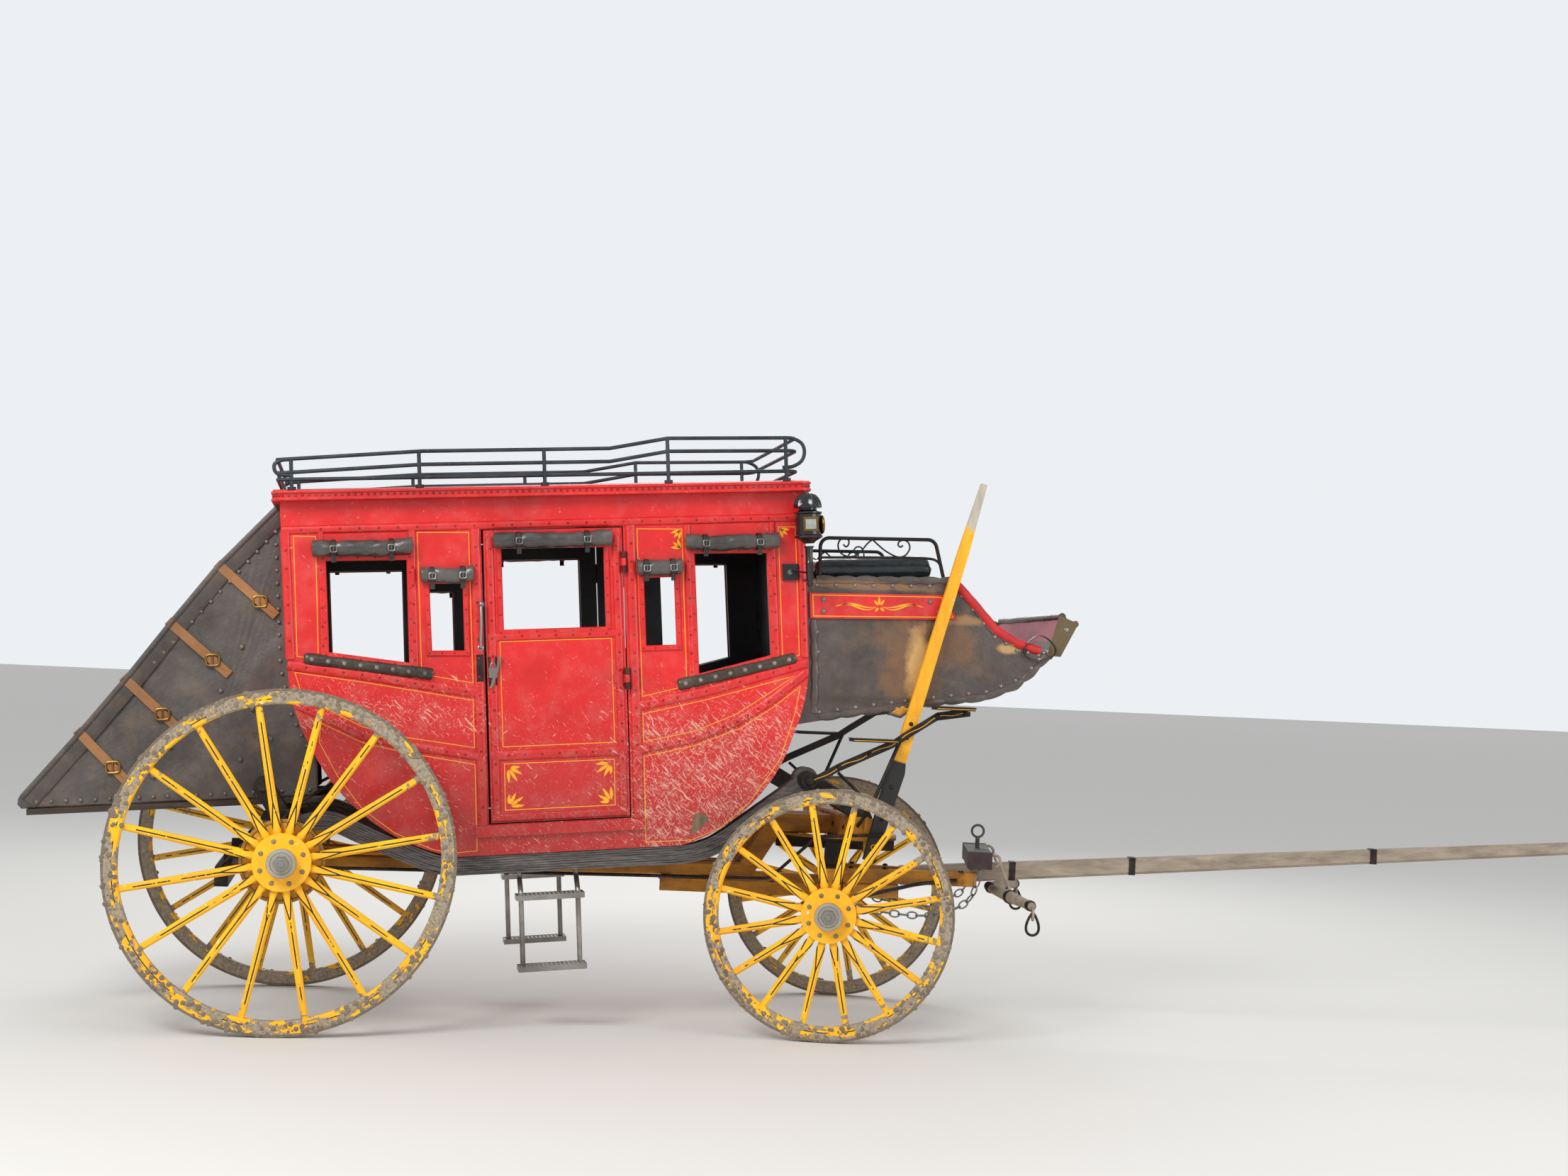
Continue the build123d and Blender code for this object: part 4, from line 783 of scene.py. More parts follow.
def rounded_pad(ranges, pitch, count=46):
    """A cushion as two sheets that meet at its edge. With g = ((1 - |A|^16)(1 - |B|^26))^0.34, the top lies at
    middle - 8 + (half + 6) g - 5 dimple^3 g and the underside at middle - 8 - (half - 8) g^0.3."""
    A, B = np.meshgrid(np.linspace(-1, 1, count), np.linspace(-1, 1, int(count * 1.5)), indexing="ij")
    grow = np.clip((1 - np.abs(A) ** 16) * (1 - np.abs(B) ** 26), 0, 1) ** 0.34
    mid = [(low + high) / 2 for low, high in ranges]
    half = [(high - low) / 2 for low, high in ranges]
    dimple = (np.cos(math.pi * pitch[0] * (A + 1)) * np.cos(math.pi * pitch[1] * (B + 1))) ** 2
    y = mid[1] + half[1] * B
    top = on_body(mid[0] + half[0] * A * (0.975 + 0.025 * grow), y, mid[2] - 8 + (half[2] + 6 - 5 * dimple**3) * grow)
    low = on_body(mid[0] + half[0] * A, y, mid[2] - 8 - (half[2] - 8) * grow**0.3)
    faces = grid_faces(*A.shape, wrap_columns=False)
    faces += [[v + A.size for v in face] for face in faces]
    return np.concatenate([top.reshape(-1, 3), low.reshape(-1, 3)]), faces


def points_of(mesh):
    """A mesh's points as rows."""
    flat = np.zeros(len(mesh.vertices) * 3)
    mesh.vertices.foreach_get("co", flat)
    return flat.reshape(-1, 3)


VOXEL, PRESSURE = 0.011, 3.5


def swell(made, cap, steps=14):
    """Blows a closed leather shell up a little: voxel remesh, some steps of pressure with no gravity, and then each
    point's move is cut off at the cap."""
    remesh = made.modifiers.new("remesh", "REMESH")
    remesh.mode = "VOXEL"
    remesh.voxel_size = VOXEL
    bpy.context.view_layer.objects.active = made
    bpy.ops.object.modifier_apply(modifier="remesh")
    rest = points_of(made.data)
    cloth = made.modifiers.new("cloth", "CLOTH")
    cloth.settings.use_pressure = True
    cloth.settings.uniform_pressure_force = PRESSURE
    cloth.settings.effector_weights.gravity = 0
    cloth.settings.quality = 4
    cloth.point_cache.frame_start, cloth.point_cache.frame_end = 1, steps
    for step in range(1, steps + 1):
        bpy.context.scene.frame_set(step)
    moved = points_of(made.evaluated_get(bpy.context.evaluated_depsgraph_get()).data)
    made.modifiers.remove(cloth)
    bpy.context.scene.frame_set(1)
    if len(moved) == len(rest):
        shift = moved - rest
        size = np.linalg.norm(shift, axis=1, keepdims=True)
        shift = shift * np.minimum(1, cap / np.maximum(size, 1e-9))
        made.data.vertices.foreach_set("co", (rest + shift).ravel())
    made.data.shade_smooth()
    made.data.update()


# columns: name, u, y and w of the space it fills, pitch of its buttons, what it stands for
CUSHIONS = (
    ("driver_seat_cushion", ((2476, 3086), (-494, 494), (2073, 2192)), (0, 0), "driver_cushion"),
    ("rear_bench_cushion", ((176, 494), (-510, 510), (1292, 1384)), (1, 5), "bench_cushions"),
    ("front_bench_cushion", ((1936, 2262), (-510, 510), (1292, 1384)), (1, 5), "bench_cushions"),
)
for name, ranges, pitch, stands_for in CUSHIONS:
    cushion = piece(name, [rounded_pad(ranges, pitch)], seat_leather, "coach", 80)
    swell(cushion, 0.006)
    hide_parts(stands_for)
    if pitch[0]:
        u, y = [low + (high - low) * (np.arange(2 * n) + 0.5) / (2 * n) for (low, high), n in zip(ranges, pitch)]
        spots = on_body(np.repeat(u, len(y)), np.tile(y, len(u)), ranges[2][1] - 4)
        piece(f"{name}_buttons", [domes(spots, (-0.08, 0, 1), 11, 6, 12)], seat_leather, "coach")


# Rear boot. One big sheet of black-brown leather, dried and cracked to tan, is stretched over the load space behind the
# cabin and nailed along its edges. Tan straps run down its sides, each with a brass buckle, and across the slope.
boot_leather = finish("boot_leather", "#5A5450", "#3B3431", "#8A6F55", (0.9, 2.6), 0.4, ("#8F7458", 0.05), (0.34, 0.62),
                      grain=7, bump=0.5, wrinkle=1.0)
tan_strap = finish("boot_strap_tan", "#A5713F", "#7A4E2B", "#8D7A62", (0.9, 2.6), 0.35, ("#5A3A22", 0.3), (0.5, 0.75),
                   bump=0.3, wrinkle=0.4)
# The sheet's side outline (u, w): the covered run from the eaves down the slope, then the open underside and front.
BOOT_COVERED = ((-33, 2500), (-62, 2497), (-332, 2235), (-548, 1981), (-754, 1729), (-965, 1487), (-1224, 1206),
                (-1238, 1178), (-1222, 1148))
BOOT_OPEN = ((-700, 1147), (100, 1147), (96, 1352), (18, 1562), (-6, 1779))
BOOT_MIDDLE = np.array([-330.0, 1520.0])
SIDE_RINGS, TOP_RINGS = 16, 41


def passed(line):
    """How far along a line each of its points lies."""
    return np.concatenate([[0], np.cumsum(np.linalg.norm(np.diff(line, axis=0), axis=1))])


def evenly(line, at):
    """The places on a line at the given distances along it."""
    return np.stack([np.interp(at, passed(line), column) for column in line.T], -1)


def boot_shell(count=160):
    """Rings of the side outline carried across: over the middle the ring keeps its size, and on each side it shrinks to
    nothing about one point. The cover sags towards that point and the sides bulge, both by uneven fields."""
    closed = np.array(BOOT_COVERED + BOOT_OPEN + BOOT_COVERED[:1], float)
    outline = evenly(closed, np.linspace(0, passed(closed)[-1], count, endpoint=False))
    ones, shrink = np.ones(SIDE_RINGS), np.linspace(0, 0.97, SIDE_RINGS)
    scales = np.concatenate([shrink, np.ones(TOP_RINGS), shrink[::-1]])
    apart = np.concatenate([-ones, np.linspace(-0.985, 0.985, TOP_RINGS), ones]) * 438
    K, Y = np.repeat(scales[:, None], count, 1), np.repeat(apart[:, None], count, 1)
    base = BOOT_MIDDLE + (outline[None] - BOOT_MIDDLE) * K[..., None]
    U, W = base[..., 0], base[..., 1]
    over = K >= 0.999
    folds = ripple(U / 90 + W / 160, W / 70, 5)
    small = ripple(U / 34, W / 46 + Y / 60, 9)
    slack = np.clip(np.minimum(K * 2, (1 - K) * 14 + 0.2), 0, 1)
    Y = np.where(over, Y, np.sign(Y) * (432 + 5 * folds * slack + 2.2 * small * slack))
    sag = 10 * (1 - (Y / 440) ** 2) + 4 * ripple(Y / 120, W / 85, 21) + 2 * small
    sag = sag * (over & (U < -60) & (W > 1160))
    base = base + unit(BOOT_MIDDLE - base) * np.clip(sag, -1, 16)[..., None]
    around = np.linalg.norm(outline - np.roll(outline, 1, 0), axis=1)
    bare = np.cumsum(around) - around[0] > passed(np.array(BOOT_COVERED, float))[-1]
    faces = np.array(grid_faces(len(scales), count))
    rows, columns = faces // count, faces % count
    kept = ~((rows >= SIDE_RINGS) & (rows < SIDE_RINGS + TOP_RINGS) & bare[columns]).all(1)
    return on_body(base[..., 0], Y, base[..., 1]).reshape(-1, 3), faces[kept].tolist()


boot = piece("boot_cover", [boot_shell()], boot_leather, "coach", 60)
thickness = boot.modifiers.new("thickness", "SOLIDIFY")
thickness.thickness, thickness.offset = 0.005, -1.0
bpy.context.view_layer.objects.active = boot
bpy.ops.object.modifier_apply(modifier="thickness")
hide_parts("rear_boot_cover")
slope = along([(-62, 2492), (-332, 2228), (-548, 1974), (-754, 1722), (-965, 1480), (-1218, 1204)], 26)
NAIL_ROWS = (((-1150, 1176), (60, 1176)), ((-52, 1720), (-14, 1530), (50, 1380)), ((-58, 1780), (-64, 2380)),
             ((-62, 2380), (-620, 1790)))
TUFTS = ((-230, 1850), (-330, 1650), (-190, 1560), (-420, 1450), (-250, 1330), (-560, 1400), (-110, 1420), (-640, 1270))
# columns: the side strap's top end on the slope's edge and its lower end (u, w)
BOOT_STRAPS = (((-324, 2232), (-71, 1989)), ((-548, 1973), (-289, 1722)), ((-755, 1723), (-526, 1486)),
               ((-962, 1488), (-757, 1253)))
STRAP_SECTION = ((-22, -1.5), (-21, 2.4), (21, 2.4), (22, -1.5))
SLOPE_U, SLOPE_W = -0.72, 0.69
BUCKLE_SHARE, HOLE_SHARES = 0.72, np.array([[0.80], [0.84], [0.88], [0.92]])
edges, nails, straps, metal = [], [], [], []
for side in (-1, 1):
    out = (0, side, 0)
    edges.append(sweep(laid(slope + (6, -4), side * 441), out, oval(13, 8, 10)))
    edges.append(sweep(laid(slope + (34, -32), side * 437), out, ((-33, -3), (-33, 5), (31, 5), (33, 3), (33, -3))))
    nails += [heads(along(row, 66), side, 438, 9, 6, 10) for row in NAIL_ROWS] + [heads(TUFTS, side, 439, 11, 6, 12)]
    for top, low in np.array(BOOT_STRAPS, float):
        t = np.linspace(-0.03, 1, 26)
        lift = 442 + 2.5 * np.sin(7 * t + top[0]) + 4 * np.sin(math.pi * np.clip(t, 0, 1))
        straps.append(sweep(laid(top + (low - top) * t[:, None], side * lift), out, STRAP_SECTION))
        metal += buckle(*(top + (low - top) * BUCKLE_SHARE), 450, side, 30, 25, 5.4)
        metal.append(heads(top + (low - top) * HOLE_SHARES, side, 449.5, 2.2, 1.0))
y = np.linspace(-446, 446, 45)
sag = 5 - 6 * (1 - (y / 446) ** 2)
straps += [sweep(on_body(u + SLOPE_U * sag, y, w + SLOPE_W * sag), (SLOPE_U, 0, SLOPE_W), STRAP_SECTION)
           for u, w in np.array(BOOT_STRAPS)[:, 0]]
dull_nails = finish("dull_nails", "#8C877D", "#5E5A52", dirty=0.3, rough=(0.35, 0.55), metal=0.7)
piece("boot_edge_welts", edges, boot_leather, "coach", 60)
piece("boot_edge_nails", nails, dull_nails)
piece("boot_straps", straps, tan_strap, "coach", 60)
piece("boot_buckles", metal, aged_brass)


# Driver's box. Boards covered with brown-black leather, worn through to tan in places and with two painted
# highlights beside the slope pad, its edges padded and held by a row of round nails; a red leather pad runs down the
# slope in front, and the toe board has a faded red lining.
box_leather = finish("box_leather", "#5B524E", "#372E29", "#8A6A48", (1.3, 2.3), 0.4, ("#A8825C", 0.05), (0.24, 0.48),
                     grain=7, bump=0.55, wrinkle=0.9, coat=0.2)
# columns: middle of the spot (u, w), half lengths, how far its colour reaches, colour. The two tan spots at
# (3235, 1860) and (3440, 1716) are painted highlights; the rest are worn places.
WEAR_AND_HIGHLIGHTS = (
    ((2950, 1690), (180, 260), 0.55, "#8A5F38"),
    ((2965, 1680), (62, 170), 0.9, "#D0A566"),
    ((3180, 1740), (110, 150), 0.45, "#8A5F38"),
    ((3235, 1860), (120, 26), 0.6, "#B08352"),
    ((2700, 2050), (420, 22), 0.6, "#9A7046"),
    ((3440, 1716), (60, 22), 0.7, "#D0A566"),
    ((2800, 1480), (420, 26), 0.5, "#3A2C24"),
)
tree, shader, here = parts_of(box_leather)
cloud = noise(tree, here, 7.0, 6.0, 0.65)
# Worn patches and two painted highlights, each a soft oval of colour laid over the leather.
for (u, w), (long, high), strength, shade in WEAR_AND_HIGHLIGHTS:
    apart = vector(tree, "SUBTRACT", here, tuple(on_body(u, 0, w)))
    far = vector(tree, "LENGTH", vector(tree, "MULTIPLY", apart, (1000 / long, 0.0, 1000 / high)))
    lay_over(tree, ramp(tree, calc(tree, "MULTIPLY_ADD", cloud, -1.9, far), 0.24, -0.36, high=strength), shade)
paint(box_leather, "driver_box_sides", "driver_box_floor")
red_pad = finish("red_pad_leather", "#CF1F22", "#AE171A", "#9A7F6C", (1.3, 2.3), 0.2, ("#C98A70", 0.2), (0.4, 0.7),
                 bump=0.5, wrinkle=0.8)
# columns: how far inside the line its nails stand, line (u, w)
BOX_RIMS = (
    (26.4, ((2470, 1418), (2831, 1450), (3041, 1466), (3311, 1484), (3462, 1534), (3546, 1592), (3630, 1672))),
    (-26.4, ((3586, 1708), (3475, 1734), (3366, 1804), (3204, 2010), (3138, 2060), (2480, 2084))),
    (0, ((2458, 1892), (2456, 1640), (2446, 1440))),
)
BACK_NAILS = ((2472, 1830), (2472, 1735), (2466, 1636), (2456, 1540))
BOX_NAIL_Y = 551
# columns: share of the slope pad's length, u, w
SLOPE_PAD = ((0, 3186, 2036), (0.18, 3262, 1948), (0.45, 3371, 1812), (0.75, 3475, 1744), (1, 3596, 1700))
for side, side_name in BODY_SIDES:
    out = (0, side, 0)
    rims, nails = [], [heads(BACK_NAILS, side, BOX_NAIL_Y, 10, 6, 12)]
    for nails_in, line in BOX_RIMS:
        run = along(line, 8)
        far = passed(run)
        puff = 0.62 + 0.38 * np.abs(np.sin(math.pi * far / 105)) ** 0.7 + 0.05 * ripple(far / 30, 0, 5)
        rims.append(puffed(laid(run, side * 549.5), out, oval(21, 9.5, 14), puff))
        if nails_in:
            nails.append(heads(along(line, 105) + (0, nails_in), side, BOX_NAIL_Y, 10, 6, 12))
    t = np.linspace(0, 1, 90)
    knots, u, w = np.array(SLOPE_PAD).T
    middle = on_body(np.interp(t, knots, u), side * 541, np.interp(t, knots, w))
    pad = puffed(middle, out, oval(24, 26), 1 + 0.06 * np.abs(np.sin(t * 22)))
    piece(f"box_rims_{side_name}", rims, box_leather, "coach", 60)
    piece(f"box_nails_{side_name}", nails, worn_steel)
    piece(f"box_slope_pad_{side_name}", [pad], red_pad, "coach", 80)


def direction(place, x, y, z):
    """A direction given in a frame's own axes, turned to the row frame's."""
    return unit(place(x, y, z) - place(0, 0, 0))


# Toe board: a thin padded lining on its inside, two leather rolls along its top, and a hem and a stud at each end. The
# loop of a strap hangs on its right side.
toe_red = finish("toe_board_red", "#B5707A", "#955460", "#9C8674", (1.3, 2.3), 0.7, ("#3A2420", 0.5), (0.5, 0.8),
                 bump=0.4, wrinkle=0.6)
y = np.linspace(-498, 498, 60)
board = np.concatenate([on_body(3655, y, 1694), on_body(3722, y, 1852)])
inwards = direction(on_body, -0.9, 0, 0.42)
quads = grid_faces(2, 60, wrap_columns=False)
edges = [[i, i + 1, i + 121, i + 120] for k in (0, 60) for i in range(k, k + 59)]
faces = quads + [[v + 120 for v in q] for q in quads] + edges + [[0, 120, 180, 60], [59, 119, 239, 179]]
lining = np.concatenate([board + inwards * 0.004, board - inwards * 0.0005])
piece("toe_board_lining", [(lining, faces)], toe_red, "coach")
rolls = []
for u, w, radius in ((3731, 1866, 20), (3800, 1828, 17)):
    y = np.linspace(-508, 508, 70)
    sway = 1.6 * ripple(y / 55, 0, radius)
    rolls.append(sweep(on_body(u + sway, y, w + sway * 0.6), (0, 0, 1), oval(radius, sides=14)))
piece("toe_board_rolls", rolls, box_leather, "coach", 60)
hem_leather = finish("hem_leather", "#6A5730", "#3F3420", "#8A7A62", (1.3, 2.3), 0.4, ("#A88C52", 0.4), (0.35, 0.6),
                     bump=0.5, wrinkle=0.8)
for side, side_name in BODY_SIDES:
    band = flat_leaf(((3702, 1872), (3800, 1830), (3700, 1668), (3628, 1676)), side, 3, 551)
    stud = heads(((3735, 1800),), side, 554, 13, 7, 14)
    piece(f"toe_board_hem_{side_name}", [band], hem_leather, "coach")
    piece(f"toe_board_stud_{side_name}", [stud], worn_steel)
t = turns(40)
ring = on_body(3588 + 76 * np.cos(t) - 12 * np.sin(2 * t), -572 - 7 * np.cos(t), 1716 + 60 * np.sin(t))
loop = sweep(ring, (0, -1, 0), THIN_STRAP, True)
piece("toe_strap_ring", [loop], roll_strap, "coach")

# Torn patch on the right side of the box: the leather has split and shows yellowed stuffing with a ragged lip round it.
# The stuffing is a low mound of ragged rings, and the lip is a thin roll of the same leather.
foam = finish("yellowed_stuffing", "#E2AE4E", "#B98236", "#6E5B44", (1.3, 2.3), 0.4, rough=(0.85, 0.98), grain=40,
              bump=0.9)
t = turns(28)
ragged = 1 + 0.16 * np.sin(3 * t + 0.6) + 0.11 * np.sin(7 * t) + 0.06 * np.sin(13 * t + 2)


TEAR_U, TEAR_W = 2872, 1440


def tear_ring(long, high, y):
    """One ragged ring about the tear's middle."""
    return on_body(TEAR_U + long * ragged * np.cos(t), -y, TEAR_W + high * ragged * np.sin(t))


rings = [tear_ring(62, 26, 549.0)]
for k, share in enumerate((1.0, 0.85, 0.6, 0.3, 0.0)):
    uneven = 2 * np.sin(5 * t + k) if 0 < share < 1 else 0
    rings.append(tear_ring(62 * share, 26 * share, 550.5 + 9 * (1 - share**2) + uneven))
stuffing = (np.concatenate(rings), grid_faces(6, 28) + [list(range(28))])
piece("box_tear_stuffing", [stuffing], foam, "coach", 80)
lip = sweep(tear_ring(66, 29, 552), (0, -1, 0), oval(5.5, sides=8), True)
piece("box_tear_lip", [lip], box_leather, "coach", 60)


# Side board of the driver's box: a red plank with a yellow line round it, a scroll at its middle and four bolts. The
# scroll is made of thin curled plates that lie on the paint.
board_paint = finish("side_board_paint", "#DC1E1C", "#C01816", "#B7A294", (1.2, 2.4), 0.25, ("#D8B59F", 0.15),
                     (0.35, 0.62), coat=0.2)
paint(board_paint, "box_side_boards")
ORNAMENT_U, ORNAMENT_W, BOARD_FACE = 2785, 1942, 564
# columns: the leaf's turn and length
BOARD_FAN = ((50, 34), (90, 40), (130, 34), (228, 26), (312, 26))
for side, side_name in BODY_SIDES:
    out = (0, side, 0)
    ring = along(((2456, 2010), (3096, 1980), (3154, 1880), (2456, 1908)), 40, True)
    line = sweep(laid(ring, side * 564.2), out, STRIPE * 1.3, True)
    t = np.linspace(0.0, 1.0, 50)
    breadth = (1.0 + 3.6 * np.sin(math.pi * t) ** 2)[:, None] * (0.0, 1.0)
    leaves = []
    for way in (-1, 1):
        for lift, swing, reach in ((0, 15, 208), (9, 9, 200)):
            curl = lift * np.sin(math.pi * t) - swing * np.sin(2 * math.pi * t) * (1 - 0.25 * t)
            u, w = ORNAMENT_U + way * (14 + reach * t), ORNAMENT_W - 0.045 * way * reach * t + curl
            middle = np.stack([u, w], -1)
            edge = np.concatenate([middle + breadth, (middle - breadth)[::-1]])
            leaves.append(flat_leaf(edge, side, 1.0, BOARD_FACE))
    for turn, size in BOARD_FAN:
        leaves.append(flat_leaf(petal(ORNAMENT_U, ORNAMENT_W + 2, turn, size, 6.0, 8), side, 1.1, BOARD_FACE))
    piece(f"side_board_leaves_{side_name}", leaves, line_paint, "coach")
    bolts = heads(((2507, 1988), (2505, 1930), (3039, 1959), (3082, 1907)), side, BOARD_FACE, 12, 7, 14)
    piece(f"side_board_line_{side_name}", [line], line_paint, "coach")
    piece(f"side_board_bolts_{side_name}", [bolts], worn_steel)

# Scrolls of the seat rails: thin iron bent into spirals between the top rail and a lower one that follows the cushion.
# Each is a round section swept along a smooth line.
# columns: radius, line (u, w)
SCROLLS = (
    (4.2, ((2622, 2252), (2635, 2240), (2648, 2250), (2650, 2270), (2633, 2281), (2609, 2275), (2596, 2249),
           (2605, 2214), (2637, 2194), (2677, 2194), (2709, 2216), (2743, 2253), (2769, 2272))),
    (4.2, ((2769, 2272), (2798, 2244), (2836, 2212), (2891, 2184), (2931, 2191), (2955, 2225), (2946, 2256),
           (2922, 2265), (2902, 2257), (2897, 2242), (2909, 2232), (2921, 2240))),
    (3.8, ((2724, 2188), (2721, 2215), (2710, 2235), (2688, 2237), (2674, 2222), (2679, 2206), (2697, 2206))),
    (6.5, ((2504, 2191), (2716, 2186), (2955, 2178), (3052, 2171), (3090, 2158), (3108, 2132), (3113, 2105))),
)
for side, side_name in BODY_SIDES:
    curls = [sweep(laid(curved(route), side * 537), (0, side, 0), oval(thick, sides=8)) for thick, route in SCROLLS]
    piece(f"seat_rail_scrolls_{side_name}", curls, black_iron)


# Carriage lamps. Each is a round black tin case with a brass-rimmed round glass in front, a square glass on its outer
# side, a stepped and ruffled chimney, and a candle tube below; iron brackets hold it at the cabin's front corner.
lamp_tin = finish("lamp_tin", "#0C0D10", "#15161A", "#5E5347", (1.8, 3.0), 0.12, ("#7A4A2B", 0.15), (0.12, 0.3),
                  metal=0.2, coat=0.6)
lamp_glass = bpy.data.materials.new("lamp_glass")
tree, shader, here = parts_of(lamp_glass)
dusty = mix(tree, noise(tree, here, 30.0, 5.0), "#C9CFC6", "#7F8578")
fill(tree, shader, {"Base Color": dusty, "Roughness": 0.12, "Metallic": 0.35})
UP_BODY, FORE_BODY = direction(on_body, 0, 0, 1), direction(on_body, 1, 0, 0)
LAMP_U, LAMP_Y, LAMP_FOOT, LAMP_GLASS_W = 2415, 705, 2042, 2340
# Turned parts: columns radius, height w
LAMP_CASE = ((0, 2250), (24, 2251), (36, 2262), (56, 2272), (66, 2278), (68, 2286), (62, 2292), (62, 2388), (68, 2393),
             (68, 2400), (50, 2404), (43, 2410), (43, 2424), (0, 2425))
LAMP_TUBE = ((0, 2042), (10, 2044), (15, 2052), (17, 2062), (13, 2070), (17, 2080), (17, 2150), (20, 2160), (17, 2170),
             (18, 2226), (26, 2238), (0, 2239))
LAMP_CHIMNEY = ((0, 2419), (67, 2420), (69, 2424), (64, 2434), (62, 2444), (57, 2458), (50, 2470), (40, 2481),
                (27, 2490), (12, 2495), (0, 2496))
LAMP_RIM = ((0, 0), (36, 0), (44, 3), (46, 9), (42, 14), (36, 13), (33, 8), (0, 7))
LAMP_LENS = [(33, 5)] + [(33 * math.sin(a), 8 + 9 * math.cos(a)) for a in np.linspace(math.pi / 2, 0, 8)]
# columns: u, distances y out from the middle, heights w, half width and thickness of the iron
LAMP_IRONS = (
    (2408, (598, 620, 650, 665, 680), (2302, 2304, 2318, 2322, 2322), 9, 6),
    (2408, (598, 625, 655, 680, 694), (2080, 2078, 2072, 2078, 2080), 9, 6),
    ((2350, 2378, 2400), (618, 650, 694), (2120, 2116, 2110), 13, 8),
)
for side, side_name in BODY_SIDES:
    foot = on_body(LAMP_U, side * LAMP_Y, LAMP_FOOT)
    case, tube, (points, faces) = [lathe(np.array(profile) - (0, LAMP_FOOT), foot, UP_BODY, count)
                                   for profile, count in ((LAMP_CASE, 32), (LAMP_TUBE, 20), (LAMP_CHIMNEY, 48))]
    core = foot + ((points - foot) @ UP_BODY)[:, None] * UP_BODY
    ruffled = np.array([r > 15 and w > 2426 for r, w in LAMP_CHIMNEY], float)
    frill = 1 + 0.07 * np.outer(ruffled, np.sin(12 * turns(48))).ravel()
    chimney = (core + (points - core) * frill[:, None], faces)
    bodies = [case, tube, chimney, flat_leaf(oblong(2302, 2082, 2378, 2160), side, 14)]
    for u, y, w, half, thick in LAMP_IRONS:
        bodies.append(sweep(on_body(u, side * np.array(y), w), (0, 0, 1), bar(half, thick)))
    made = piece(f"lamp_body_{side_name}", bodies, lamp_tin, "coach", 30)
    bolt = heads(((2338, 2121),), side, 614, 14, 8, 14)
    piece(f"lamp_plate_bolt_{side_name}", [bolt], worn_steel)
    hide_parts("lamps")
    front = on_body(2474, side * LAMP_Y, LAMP_GLASS_W)
    square = laid(oblong(-31, -29, 31, 29) + (LAMP_U, LAMP_GLASS_W), side * 767)
    rims = [lathe(LAMP_RIM, front, FORE_BODY, 36), sweep(square, (0, side, 0), oblong(-5, -20, 5, 4), True)]
    piece(f"lamp_rims_{side_name}", rims, aged_brass)
    pane = laid(((2387, LAMP_GLASS_W), (2443, LAMP_GLASS_W)), side * 768)
    glass = [lathe(LAMP_LENS, front, FORE_BODY, 32), sweep(pane, (0, side, 0), eased(26, -12, 0, 8, 3))]
    piece(f"lamp_glass_{side_name}", glass, lamp_glass, "coach", 30)


# Thoroughbraces. Each is a stack of eight thick leather straps, about 90 mm square, that loops round an iron pin at
# each end and passes under the belly; the plies slip on each other, and the upper ones curl up near the front pin.
strap_leather = finish("strap_leather", "#5B5654", "#34302F", "#8B8078", (0.5, 1.9), 0.6, ("#8C8580", 0.3), (0.5, 0.8),
                       stretch=(1, 5, 5), grain=12, bump=0.7, wrinkle=0.7)
STRAP_ROUTE = ((-146.3, 988.5), (132, 1048), (344, 936), (650, 792.7), (1830, 792.7), (1965, 832), (2135, 938),
               (2395.3, 1122.4))
STRAP_HALF, STRAP_Y, PLIES, PLY = 43.5, 500, 8, 11


def rounded(points, reach=90.0, count=9):
    """A line with its corners turned into quadratic curves: (1 - t)^2 a + 2 t (1 - t) corner + t^2 b, where a and b lie
    a set reach away on its two sides."""
    points = np.asarray(points, float)
    t = np.linspace(0, 1, count)[:, None]
    line = [points[:1]]
    for before, here, after in zip(points, points[1:], points[2:]):
        a, b = [here + (end - here) * min(0.48, reach / np.linalg.norm(end - here)) for end in (before, after)]
        line.append((1 - t) ** 2 * a + 2 * t * (1 - t) * here + t**2 * b)
    line.append(points[-1:])
    return np.concatenate(line)


middle = along(rounded(STRAP_ROUTE).tolist(), 45)
tangent = unit(np.gradient(middle, axis=0))
upward = np.stack([-tangent[:, 1], tangent[:, 0]], -1)
share = np.linspace(0, 1, len(middle))
near_rear, near_front, near_curl = [np.exp(-((share - at) / 0.05) ** 2) for at in (0, 1, 0.86)]
for side, side_name in BODY_SIDES:
    plies = []
    for k in range(PLIES):
        height = (k - (PLIES - 1) / 2) * PLY * (1 - 0.25 * near_rear - 0.25 * near_front)
        curl = k * near_curl + 1.1 * ripple(share * 40, k, 31 + k)
        line = middle + upward * np.minimum(height + curl, STRAP_HALF)[:, None]
        sway = 1.8 * ripple(share * 16, 2 * k, 70 + k)
        section = eased(STRAP_HALF - (k % 3) * 0.8, -4.6, 4.0, 1.2, 5.0)
        plies.append(sweep(laid(line, side * (STRAP_Y + sway)), UP_BODY, section))
    for u, w in (STRAP_ROUTE[0], STRAP_ROUTE[-1]):
        for k in range(4):
            ring = oblong(22 + 9.6 * k, k - 44, 31 + 9.6 * k, 44 - k)
            plies.append(lathe([*ring, ring[0]], on_body(u, side * STRAP_Y, w), (0, 1, 0), 40, capped=False))
    made = piece(f"thoroughbrace_{side_name}", plies, strap_leather, "coach", 40)
    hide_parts("thoroughbraces")


